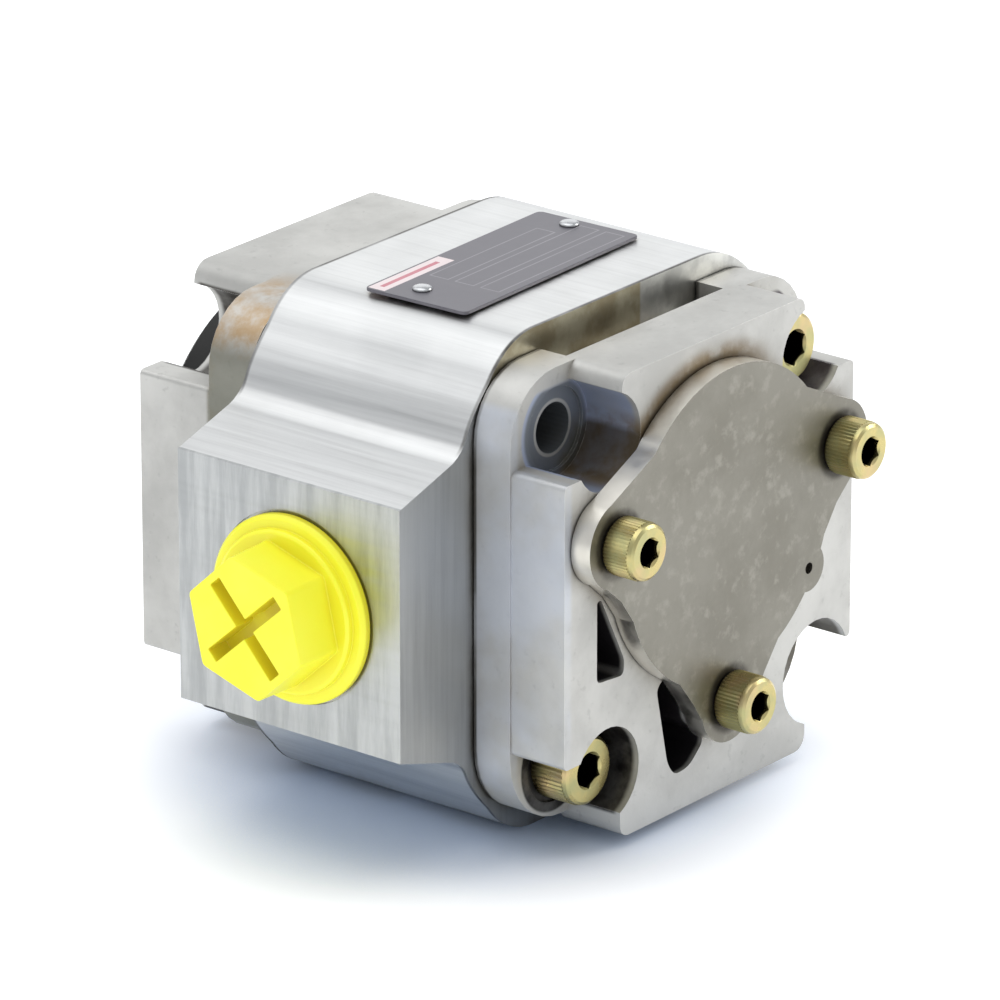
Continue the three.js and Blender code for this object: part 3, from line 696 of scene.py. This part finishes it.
def arms_outline(notches, side_r=1.2):
    """The plus-shaped arms, hollowed round each bolt."""
    outline = []
    for (sx, sz), (span_x, end_r, cx, cz, radius) in zip(CORNERS, notches):
        end = COVER_TOP if sz > 0 else -ARM_BOTTOM
        low = math.degrees(math.asin((ARM_SPAN_Z - cz) / radius))
        high = math.degrees(math.acos((span_x - cx) / radius)) - 360
        path = arc(ARM_HALF_W - side_r, ARM_SPAN_Z - side_r, side_r, 0, 90, 4)
        path += arc(cx, cz, radius, low, high, 20)
        path += arc(span_x - end_r, end - end_r, end_r, 0, 90, 5)
        points = [(sx * x, sz * z) for x, z in path]
        outline += points if sx * sz > 0 else points[::-1]
    return outline


def bolt_rods(radius, y0, y1, steps=32):
    return [rod(radius, y0, y1, sx * BOLT_X, sz * BOLT_Z, steps) for sx, sz in CORNERS]


POCKET_A = [(-39.8, 3), (-38.4, 3.2), (-30.2, -13), (-30.6, -16.4), (-39.8, -15.6)]
POCKET_B = [
    (-18.9, -23.6), (-16.6, -21.6), (-10.4, -24), (-8.8, -34), (-2.6, -38.6),
    (-2.6, -41), (-7.2, -45), (-12.4, -45.4), (-14.9, -42),
]


def cover_edges(face_y):
    """Edge radii of a cover: soft on the outer rims of the arms, tight elsewhere."""
    def width(middle):
        on_face = abs(middle.y - face_y) < 0.1
        in_recess = middle.z > RECESS_FLOOR - 0.5 and RECESS[0] - 0.5 < middle.x < RECESS[1] + 0.5
        if face_y < 1 and in_recess and middle.y > ARM_DEPTH + 2:
            return 0
        if on_face and middle.z > COVER_TOP - 0.3:
            return RIM_R
        outside = abs(middle.x) > ARM_HALF_W - 0.3 or middle.z > COVER_TOP - 0.3
        outside = outside or middle.z < ARM_BOTTOM + 0.3
        if on_face and outside:
            return 1.7
        return 1.2 if outside else 0.5
    return width


SPIGOT_R = 20
SCREW_HOLE_R = 4.2


def rear_cover():
    """The casting, with its screw bores, recess, pockets and the seat of the plate's spigot."""
    body = prism(cover_outline(), ARM_DEPTH, REAR_HIGH.y)
    join(body, prism(arms_outline(REAR_NOTCHES), 0, ARM_DEPTH + 2))
    cut(
        body,
        *bolt_rods(BOLT_BORE_R, -1, REAR_HIGH.y + 1),
        *bolt_rods(SPOT_R, ARM_DEPTH - 1, ARM_DEPTH + 0.8),
        *[rod(SCREW_HOLE_R, -1, 15, x, z, 24) for x, z in LOBES],
        prism(box_outline(*RECESS, RECESS_FLOOR, 60), ARM_DEPTH + 2.6, REAR_HIGH.y + 1),
        prism(rounded(POCKET_A, 1.4), -1, 12),
        prism(rounded(POCKET_B, 2.2), -1, 13),
        rod(SPIGOT_R + 0.3, -1, 5),
        rod(SHAFT_BORE_R, 4, REAR_HIGH.y + 1),
    )
    soften(body, RIM_R, width_at=cover_edges(0), steps=3, edge_slot=1)
    return placed(body, "rear_cover_casting", "pump_body",
                  [MAT["rear_cast"], MAT["cast_edge"]], ["rear_cover"])


def front_cover():
    """The flange, with its pilot, the seal's seat and the retaining ring's groove."""
    y0, y1 = FRONT_LOW.y, FRONT_HIGH.y
    body = prism(cover_outline(), y0, FRONT_BASE)
    join(body, prism(arms_outline(FRONT_NOTCHES), FRONT_BASE - 2, FLANGE_FACE))
    root = FLANGE_FACE - 4.5
    pilot = [(0, root), (PILOT_R, root), (PILOT_R, y1 - 1), (PILOT_R - 1, y1), (0, y1)]
    join(body, revolved(pilot, steps=96))
    seat_r, groove_r = 16, 17.2
    seat, groove_low, groove_high = 106.5, 114.6, 116.6
    cut(
        body,
        *bolt_rods(BOLT_BORE_R, y0 - 1, y1 + 1),
        rod(SHAFT_BORE_R, y0 - 1, y1 + 1),
        revolved([
            (0, seat), (seat_r, seat), (seat_r, y1 - 1), (groove_r, y1 + 0.2), (groove_r, y1 + 2),
            (0, y1 + 2),
        ]),
        revolved([(15, groove_low), (groove_r, groove_low), (groove_r, groove_high), (15, groove_high)]),
    )
    soften(body, RIM_R, width_at=cover_edges(FLANGE_FACE), steps=3, edge_slot=1)
    return placed(body, "front_cover_casting", "pump_body",
                  [MAT["front_cast"], MAT["cast_edge"]], ["front_cover"])


# ---------------------------------------------------------------------------
# Housing
# ---------------------------------------------------------------------------
def housing_outline():
    """The middle body's outline. Its left half runs down an S-shaped shoulder to the port block."""
    top = BODY_HIGH.z
    left = [(-31, top)] + quad((-31, top), (-40, top - 0.4), (-46, 48.5))
    left += quad((-46, 48.5), (-51.5, 43), (-53.3, 39), 8)
    left += quad((-53.3, 39), (-54.8, 35.2), (-59, 33.8), 8)
    left += [(BODY_LOW.x, 28.7)]
    right = [(BODY_HIGH.x, 24), (52, 34)] + quad((52, 34), (52, 42), (46, 48.5), 8)
    right += quad((46, 48.5), (38, top), (28, top))
    low_left = [(x, -z) for x, z in left[::-1]]
    low_right = [(x, -z) for x, z in right[::-1]]
    return left + low_left + low_right + right


def sideways(obj, out, x):
    """Turns a solid drawn along +Y so that it points out along X from the port face at x."""
    axes = Matrix(((0, out, 0), (-out, 0, 0), (0, 0, 1))).to_4x4()
    return moved(obj, Matrix.Translation((x, PORT_Y, 0)) @ axes)


def housing():
    """The middle body, whose end faces are milled across."""
    y0, y1 = BODY_LOW.y, BODY_HIGH.y
    body = prism(housing_outline(), y0, y1)
    cut(
        body,
        rod(CHAMBER_R, y0 - 1, y1 + 1, 0, RING_OFFSET, 96),
        *bolt_rods(BOLT_BORE_R, y0 - 1, y1 + 1),
        sideways(rod(SUCTION_BORE_R, -56, 1), -1, BODY_LOW.x),
        sideways(rod(PRESSURE_BORE_R, -38, 1), 1, BODY_HIGH.x),
        sideways(rod(SUCTION_SPOT_R, -0.5, 1, steps=64), -1, BODY_LOW.x),
        sideways(rod(PRESSURE_SPOT_R, -0.5, 1, steps=64), 1, BODY_HIGH.x),
    )
    soften(body, 0.5, sharper=20, edge_slot=1)
    piece = placed(body, "housing_body", "pump_body",
                   [MAT["housing"], MAT["edge"], MAT["milled"]], ["housing"], 25)
    for polygon in piece.data.polygons:
        if abs(polygon.normal.y) > 0.98 and polygon.material_index == 0:
            polygon.material_index = 2
    return piece


# ---------------------------------------------------------------------------
# Cover plate and screws
# ---------------------------------------------------------------------------
# Flanks that blend the round plate into its lobes, each drawn on both sides
PLATE_WEBS = [
    [(20, 20), (39, 17), (42.2, 26.8), (26.9, 33.9)],
    [(30, 10), (33.9, -2.1), (38.3, 4), (43.2, 8.2)],
    [(0, -20), (9.8, -32), (12.7, -27.6), (17.5, -21.5)],
]


def cover_plate():
    """The lobed plate and the hollow spigot behind it."""
    face = PLATE_LOW.y
    seat = -0.3
    plate = rod(PLATE_R, face, seat, 0, PLATE_Z, 96)
    parts = [rod(LOBE_R, face, seat, x, z, 48) for x, z in LOBES]
    for web in PLATE_WEBS:
        parts.append(prism(web, face, seat))
        parts.append(prism([(-x, z) for x, z in web], face, seat))
    parts.append(rod(PLATE_EAR_R, face, seat, *PLATE_EAR, 36))
    join(plate, *parts)
    end = PLATE_HIGH.y
    spigot = revolved([
        (0, seat - 1), (SPIGOT_R, seat - 1), (SPIGOT_R, end), (18.2, end), (18.2, 1.8), (16.4, 1.8),
        (16.4, end), (15, end), (15, 0.5), (0, 0.5),
    ], steps=64)
    join(plate, spigot)
    cut(
        plate,
        *[rod(4.3, face - 1, 1, x, z, 32) for x, z in LOBES],
        rod(1.3, face - 1, face + 2.5, *PLATE_EAR, 20),
    )

    def width(middle):
        if middle.y > seat + 0.1:
            return 0
        return 1.0 if abs(middle.y - face) < 0.1 else 0.35

    soften(plate, 1.0, steps=3, width_at=width, edge_slot=1)
    piece = placed(plate, "cover_plate_ground", "pump_body",
                   [MAT["plate"], MAT["plate_edge"]], ["cover_plate"])
    # The side faces take the lighter edge metal: painted light on sides that would lie in shade
    for polygon in piece.data.polygons:
        if abs(polygon.normal.y) < 0.3:
            polygon.material_index = 1


def cap_screw(node, name, head_long, head_r, shank_r):
    """Socket-head cap screw with a knurled head, chamfers and a ridged shank."""
    low, high = span(node)
    x, z = (low.x + high.x) / 2, (low.z + high.z) / 2
    rear, tip = low.y, high.y
    seat = rear + head_long
    knurls = 48
    ring = []
    for i in range(knurls * 2):
        radius = head_r if i % 2 else head_r - 0.22
        angle = math.pi * i / knurls
        ring.append((x + radius * math.cos(angle), z + radius * math.sin(angle)))
    head = prism(ring, rear + 1.5, seat - 0.5)
    steps = 60
    crown = revolved([
        (0, rear), (head_r - 1.0, rear), (head_r - 0.35, rear + 0.45), (head_r - 0.15, rear + 1.0),
        (head_r - 0.15, rear + 1.7), (0, rear + 1.7),
    ], x, z, steps)
    collar = revolved([
        (0, seat - 0.7), (head_r - 0.2, seat - 0.7), (head_r - 0.45, seat), (0, seat),
    ], x, z, steps)
    profile = [(0, seat - 1), (shank_r, seat - 1)]
    pitch = 1.5
    y = seat + 2
    while y < tip - pitch - 1:
        profile += [(shank_r, y), (shank_r - 0.75, y + pitch / 2)]
        y += pitch
    profile += [(shank_r, y), (shank_r, tip - 1), (shank_r - 1, tip), (0, tip)]
    join(head, crown, collar, revolved(profile, x, z, 24))
    deep = head_long * 0.55
    flats = head_r * 0.53
    hexagon = arc(x, z, flats, 90, 390, 5)
    cone = revolved([
        (0, rear - 0.5), (flats + 0.45, rear - 0.5), (flats - 0.5, rear + 0.6), (0, rear + 0.6),
    ], x, z, 32)
    floor = rear + deep - 0.1
    pit = revolved([(0, floor), (flats * 0.8, floor), (0, rear + deep + 1.2)], x, z, 24)
    cut(head, prism(hexagon, rear - 1, rear + deep), cone, pit)
    return placed(head, name, "pump_body", [MAT["zinc"]], [node], 28)


# ---------------------------------------------------------------------------
# Name plate and rivets
# ---------------------------------------------------------------------------
LABEL_LOW, LABEL_HIGH = span("name_plate")
LABEL_TURN = math.radians(1.8)
LABEL_LONG = 63.2
LABEL_WIDE = 27.2
RIVET_X = (-25.2, 28)
RIVET_Y = 2.8


def label_material():
    """Dark anodised plate with a pale printed band and the ruled boxes of a blank form."""
    n = Nodes("label_plate")
    turned = n.node("ShaderNodeMapping", vector_type="TEXTURE")
    centre = ORIGIN + (LABEL_LOW + LABEL_HIGH) / 2 * MM
    turned.inputs["Location"].default_value = centre
    turned.inputs["Rotation"].default_value = (0, 0, LABEL_TURN)
    n.link(n.place, turned.inputs["Vector"])
    split = n.node("ShaderNodeSeparateXYZ")
    n.link(turned.outputs["Vector"], split.inputs["Vector"])
    u, v = split.outputs["X"], split.outputs["Y"]

    def between(value, low, high):
        above = n.math("GREATER_THAN", value, low * MM)
        return n.math("MULTIPLY", above, n.math("LESS_THAN", value, high * MM))

    def patch(u0, u1, v0, v1):
        return n.math("MULTIPLY", between(u, u0, u1), between(v, v0, v1))

    def ruled(u0, u1, v0, v1, line=0.35):
        inside = patch(u0 + line, u1 - line, v0 + line, v1 - line)
        return n.math("SUBTRACT", patch(u0, u1, v0, v1), inside)

    wear = n.noise(140, 5, 0.6)
    dark = n.mix(n.span(wear, 0.35, 0.7, 0, 1), (0.105, 0.10, 0.118), (0.15, 0.145, 0.162))
    boxes = n.math("MAXIMUM", ruled(-17, 29, -11.6, -6.4), ruled(-17, 29, -4.8, 0.4))
    boxes = n.math("MAXIMUM", boxes, ruled(-17, 22, 2, 7.2))
    tone = n.mix(n.math("MULTIPLY", boxes, 0.55), dark, (0.3, 0.29, 0.31))
    tone = n.mix(patch(-31, -6, 8.6, 13), tone, (0.72, 0.62, 0.62))
    tone = n.mix(patch(-29, -9, 10.2, 11.4), tone, (0.5, 0.16, 0.2))
    normal = n.bump(n.noise(1200, 3, 0.6), 0.15, 0.00004)
    return n.done(tone, n.span(wear, 0.3, 0.7, 0.3, 0.42), normal, Metallic=0.35)


def name_plate():
    """The thin plate with round corners, turned a little as it was riveted on."""
    bottom, top = LABEL_LOW.z, LABEL_HIGH.z
    half_l, half_w = LABEL_LONG / 2, LABEL_WIDE / 2
    blank = upright(rounded(box_outline(-half_l, half_l, -half_w, half_w), 1.6), 0, top - bottom)
    cut(blank, *[upright(arc(x, RIVET_Y, 1.3, 0, 345, 23), -3, 3) for x in RIVET_X])
    soften(blank, 0.15)
    middle = (LABEL_LOW + LABEL_HIGH) / 2
    place = Matrix.Translation((middle.x, middle.y, bottom)) @ Matrix.Rotation(LABEL_TURN, 4, "Z")
    moved(blank, place)
    return placed(blank, "name_plate_blank", "pump_body", [label_material()], ["name_plate"])


def rivet(node, name):
    """Drive rivet with a domed head."""
    low, high = span(node)
    x, y = (low.x + high.x) / 2, (low.y + high.y) / 2
    head_r = (high.x - low.x) / 2
    seat = LABEL_HIGH.z + 0.1
    dome = high.z - seat
    profile = [(0, low.z), (1, low.z), (1, seat), (head_r, seat)]
    for i in range(7):
        a = math.radians(90 * i / 6)
        profile.append((head_r * math.cos(a), seat + 0.15 + (dome - 0.15) * math.sin(a)))
    pin = revolved(profile, steps=28, axis="Z")
    moved(pin, Matrix.Translation((x, y, 0)))
    return placed(pin, name, "pump_body", [MAT["steel"]], [node])


# ---------------------------------------------------------------------------
# Port plugs
# ---------------------------------------------------------------------------
def port_plug(node, name, out, face, bore_r, flange_r, hex_r):
    """Moulded plug: ridged shank, round flange, stepped collar, hexagon with a cross slot."""
    low, high = span(node)
    reach = abs((low.x if out < 0 else high.x) - face)
    shank_r = bore_r - 0.3
    profile = [(0, -12), (shank_r - 1.5, -12), (shank_r - 0.6, -11)]
    y = -10.5
    while y < -2:
        profile += [(shank_r, y), (shank_r, y + 0.5), (shank_r - 0.9, y + 1.2)]
        y += 1.9
    profile += [(shank_r - 0.9, -0.2)]
    profile += [(flange_r - 0.5, -0.2), (flange_r, 0.3), (flange_r, 1.7), (flange_r - 0.9, 2.6)]
    profile += [(hex_r * 1.12, 2.6), (hex_r * 1.12, 3.9), (hex_r * 1.12 - 0.6, 4.4), (0, 4.4)]
    plug = revolved(profile, steps=72)
    hexagon = prism(rounded(arc(0, 0, hex_r, 17, 317, 5), 0.9, 3), 3.5, reach)
    for vertex in hexagon.data.vertices:
        taper = 1 - 0.02 * (vertex.co.y - 3.5) / (reach - 3.5)
        vertex.co.x *= taper
        vertex.co.z *= taper
    join(plug, hexagon)
    slots = []
    for angle in (48, 138):
        half = hex_r * 0.74
        bar = prism(box_outline(-half, half, -1.6, 1.6), reach - 6, reach + 1)
        slots.append(moved(bar, Matrix.Rotation(math.radians(-angle), 4, "Y")))
    cut(plug, *slots, rod(bore_r - 4, -13, 2, steps=48))
    sideways(plug, out, face)
    soften(plug, 0.4, sharper=28, steps=3)
    return placed(plug, name, "pump_body", [MAT["plastic"]], [node], 30)


# ---------------------------------------------------------------------------
# Shaft and the parts round its drive end
# ---------------------------------------------------------------------------
GEAR_MODULE = 2.5
PINION_TEETH = 13
PITCH_R = GEAR_MODULE * PINION_TEETH / 2
PRESSURE_ANGLE = math.radians(30)
TOOTH_TIP_R = PITCH_R + 0.8 * GEAR_MODULE
TOOTH_ROOT_R = PITCH_R - 1.02 * GEAR_MODULE
BACKLASH = 0.3
GEAR_REAR = 31
GEAR_FRONT = 79
JOURNAL_R = 9.8
STUB_R = 9.0
KEY_LOW, KEY_HIGH = span("shaft_key")


def pinion_outline(steps=8):
    """Involute teeth, one pointing straight down."""
    base_r = PITCH_R * math.cos(PRESSURE_ANGLE)
    half_tooth = (math.pi / 2 - BACKLASH / (2 * GEAR_MODULE)) / PINION_TEETH

    def involute(radius):
        angle = math.acos(min(1, base_r / radius))
        return math.tan(angle) - angle

    start = max(base_r, TOOTH_ROOT_R)
    flank = [(TOOTH_ROOT_R, half_tooth + involute(PITCH_R) - involute(start) + 0.02)]
    for i in range(steps + 1):
        radius = start + (TOOTH_TIP_R - start) * i / steps
        flank.append((radius, half_tooth + involute(PITCH_R) - involute(radius)))
    outline = []
    for tooth in range(PINION_TEETH):
        centre = 2 * math.pi * tooth / PINION_TEETH
        polar = [(r, centre - half) for r, half in flank]
        polar += [(r, centre + half) for r, half in flank[::-1]]
        polar.append((TOOTH_ROOT_R, centre + math.pi / PINION_TEETH))
        outline += [(r * math.sin(a), -r * math.cos(a)) for r, a in polar]
    return outline


def key_outline(grow):
    """Round-ended outline of the key in (x, y), grown by a clearance."""
    half = KEY_HIGH.x + grow
    ends = KEY_LOW.y + KEY_HIGH.x, KEY_HIGH.y - KEY_HIGH.x
    return arc(0, ends[1], half, 0, 180) + arc(0, ends[0], half, 180, 360)


def shaft():
    """The shaft with its pinion, keyway and tapped end, and the key."""
    low, high = span("drive_shaft")
    end = high.y
    journal, stub, groove = JOURNAL_R, STUB_R, 0.5
    body = revolved([
        (0, low.y), (journal - 1, low.y), (journal, low.y + 1),
        (journal, GEAR_REAR - 1.5), (journal - groove, GEAR_REAR - 1.2), (journal - groove, GEAR_REAR + 1),
        (journal - groove, GEAR_FRONT - 1), (journal - groove, GEAR_FRONT + 1.2),
        (journal, GEAR_FRONT + 1.5), (journal, 119.6), (stub, 120.8),
        (stub, end - 1.2), (stub - 1.2, end), (0, end),
    ], steps=72)
    join(body, prism(pinion_outline(), GEAR_REAR, GEAR_FRONT))
    tapped = [
        (0, end - 15), (2.5, end - 13.5), (2.5, end - 1.2), (3.4, end + 0.2), (3.4, end + 1),
        (0, end + 1),
    ]
    cut(body, upright(key_outline(0.25), KEY_LOW.z - 0.3, stub + 2), revolved(tapped, steps=32))
    soften(body, 0.2, sharper=40)
    placed(body, "pinion_shaft_ground", "pinion_shaft", [MAT["steel"]], ["drive_shaft"], 25)
    key = upright(key_outline(0), KEY_LOW.z, KEY_HIGH.z)
    soften(key, 0.35)
    placed(key, "parallel_key", "pinion_shaft", [MAT["dark_steel"]], ["shaft_key"])


def drive_end_seal():
    """Lip seal and the retaining ring that holds it."""
    low, high = span("shaft_seal")
    outer = high.x
    seal = revolved([
        (outer - 0.3, low.y), (outer, low.y + 0.4), (outer, high.y - 0.4), (outer - 0.3, high.y),
        (13.4, high.y), (13.0, high.y - 0.5), (12.7, high.y - 0.5), (12.3, high.y),
        (11.6, high.y), (10.2, high.y - 1.4), (10.2, high.y - 1.9), (11.2, high.y - 2.4),
        (10.3, high.y - 3.3), (12.4, high.y - 4.0), (12.8, low.y + 1), (14.0, low.y + 0.6), (14.0, low.y),
    ], steps=72)
    placed(seal, "shaft_lip_seal", "pump_body", [MAT["rubber"]], ["shaft_seal"], 40)
    low, high = span("seal_retaining_ring")
    outer = high.x
    inner = outer - 2.6
    start, end = -72, 252
    eye = 14.2
    lugs = [(eye * math.cos(a), eye * math.sin(a)) for a in (math.radians(end - 6), math.radians(start + 6))]
    outline = arc(0, 0, outer, start, end, 60)
    outline += arc(*lugs[0], 2.1, end + 20, end + 200, 14)
    outline += arc(0, 0, inner, end - 15, start + 15, 48)
    outline += arc(*lugs[1], 2.1, start - 200, start - 20, 14)
    clip = prism(outline, low.y, high.y)
    cut(clip, *[rod(0.9, low.y - 1, high.y + 1, x, z, 20) for x, z in lugs])
    soften(clip, 0.12, sharper=50)
    placed(clip, "internal_retaining_ring", "pump_body", [MAT["dark_steel"]],
           ["seal_retaining_ring"])


def finishes():
    """Procedural finishes for the CAD nodes that keep their own shape."""
    finish = {
        "steel": ["ring_gear", "leaf_spring", "stop_pin", "sealing_roller_1", "sealing_roller_2",
                  "dowel_pin_rear_1", "dowel_pin_rear_2", "dowel_pin_front_1", "dowel_pin_front_2"],
        "bronze": ["bush_rear", "bush_front", "axial_disc_rear", "axial_disc_front",
                   "segment_carrier", "segment"],
        "rubber": ["housing_o_ring_rear", "housing_o_ring_front", "pressure_seal_rear",
                   "pressure_seal_front", "cover_plate_o_ring"],
    }
    for look, nodes in finish.items():
        for node in nodes:
            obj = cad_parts[node]
            obj.data.materials.clear()
            obj.data.materials.append(MAT[look])


# ---------------------------------------------------------------------------
# Floor, light and camera
# ---------------------------------------------------------------------------
SHADE_MIDDLE = (-32, 45, None)
FLOOR_GLOW = 0.34
SKY_STRENGTH = 0.68


def stage():
    """A white floor with a painted bluish shadow close round the pump, whose glow fades out under the pump,
    and an even sky.
    """
    bm = bmesh.new()
    bmesh.ops.create_grid(bm, x_segments=1, y_segments=1, size=6)
    floor = new_object("floor", bm)
    n = Nodes("floor_white")
    grain = n.noise(2.0, 2, 0.5)
    tone = n.mix(grain, (0.93, 0.935, 0.945), (0.94, 0.945, 0.955))
    # Close round the pump, where occlusion finds it, the floor turns blue-grey: painted shadow
    tone = n.mix(n.crevice(0.05, 0.2, 0.85), tone, (0.60, 0.71, 0.90))
    # The floor's glow is painted light, fading out near the pump to leave its shadow
    glow = n.math("MULTIPLY", n.math("SUBTRACT", 1, n.near(SHADE_MIDDLE, 32, 88)), FLOOR_GLOW)
    n.link(glow, n.shader.inputs["Emission Strength"])
    floor.data.materials.append(n.done(tone, 0.8, Emission_Color=(1.0, 1.0, 1.0, 1.0)))

    world = bpy.data.worlds.new("studio")
    world.use_nodes = True
    sky = world.node_tree.nodes["Background"]
    sky.inputs["Color"].default_value = (0.95, 0.97, 1.0, 1.0)
    sky.inputs["Strength"].default_value = SKY_STRENGTH
    bpy.context.scene.world = world


def area_light(name, place, aim, size, power, color):
    data = bpy.data.lights.new(name, "AREA")
    data.shape = "SQUARE"
    data.size = size
    data.energy = power
    data.color = color
    lamp = bpy.data.objects.new(name, data)
    lamp.location = place
    lamp.rotation_euler = (Vector(aim) - Vector(place)).to_track_quat("-Z", "Y").to_euler()
    bpy.context.scene.collection.objects.link(lamp)


def lights():
    aim = (0, 0, 0.06)
    area_light("key_right", (1.25, -0.8, 0.8), aim, 0.7, 8.5, (1.0, 0.985, 0.95))
    area_light("back_right", (1.35, 1.1, 0.85), aim, 1.3, 3.7, (1.0, 1.0, 0.99))
    area_light("back_top", (-0.2, 1.05, 1.3), aim, 1.3, 4.2, (1.0, 1.0, 1.0))
    area_light("top", (-0.2, 0.0, 1.6), aim, 1.4, 8.5, (0.98, 0.99, 1.0))


VIEW_AZIMUTH = math.radians(-51.5)
VIEW_ELEVATION = math.radians(20.7)
VIEW_DISTANCE = 2.0
VIEW_AIM = (-24.5, 38.5, 12.7)
SENSOR = 36.0
LENS = 334.4


def camera():
    """The camera stands toward the rear left, high enough to see the top."""
    across = math.cos(VIEW_ELEVATION)
    back = Vector((
        math.sin(VIEW_AZIMUTH) * across, -math.cos(VIEW_AZIMUTH) * across, math.sin(VIEW_ELEVATION)
    ))
    right = Vector((math.cos(VIEW_AZIMUTH), math.sin(VIEW_AZIMUTH), 0))
    turn = Matrix((right, back.cross(right), back)).transposed().to_4x4()
    data = bpy.data.cameras.new("camera")
    data.sensor_width = SENSOR
    data.lens = LENS
    data.clip_end = 30
    obj = bpy.data.objects.new("camera", data)
    target = ORIGIN + Vector(VIEW_AIM) * MM
    obj.matrix_world = Matrix.Translation(target + back * VIEW_DISTANCE) @ turn
    bpy.context.scene.collection.objects.link(obj)
    bpy.context.scene.camera = obj
    bpy.context.scene.view_settings.view_transform = "Standard"


camera()
stage()
lights()
housing()
rear_cover()
front_cover()
cover_plate()
for number in (1, 2, 3):
    cap_screw(f"cover_plate_screw_{number}", f"cap_screw_m8_{number}", 8, 6.5, 4)
for number in (1, 2):
    cap_screw(f"assembly_screw_{number}", f"cap_screw_m10_{number}", 10, 8, 5)
name_plate()
for number in (1, 2):
    rivet(f"name_plate_rivet_{number}", f"drive_rivet_{number}")
shaft()
drive_end_seal()
port_plug("suction_plug", "suction_port_plug", -1, BODY_LOW.x, SUCTION_BORE_R, 21.2, 16.4)
port_plug("pressure_plug", "pressure_port_plug", 1, BODY_HIGH.x, PRESSURE_BORE_R, 16.2, 12.4)
finishes()
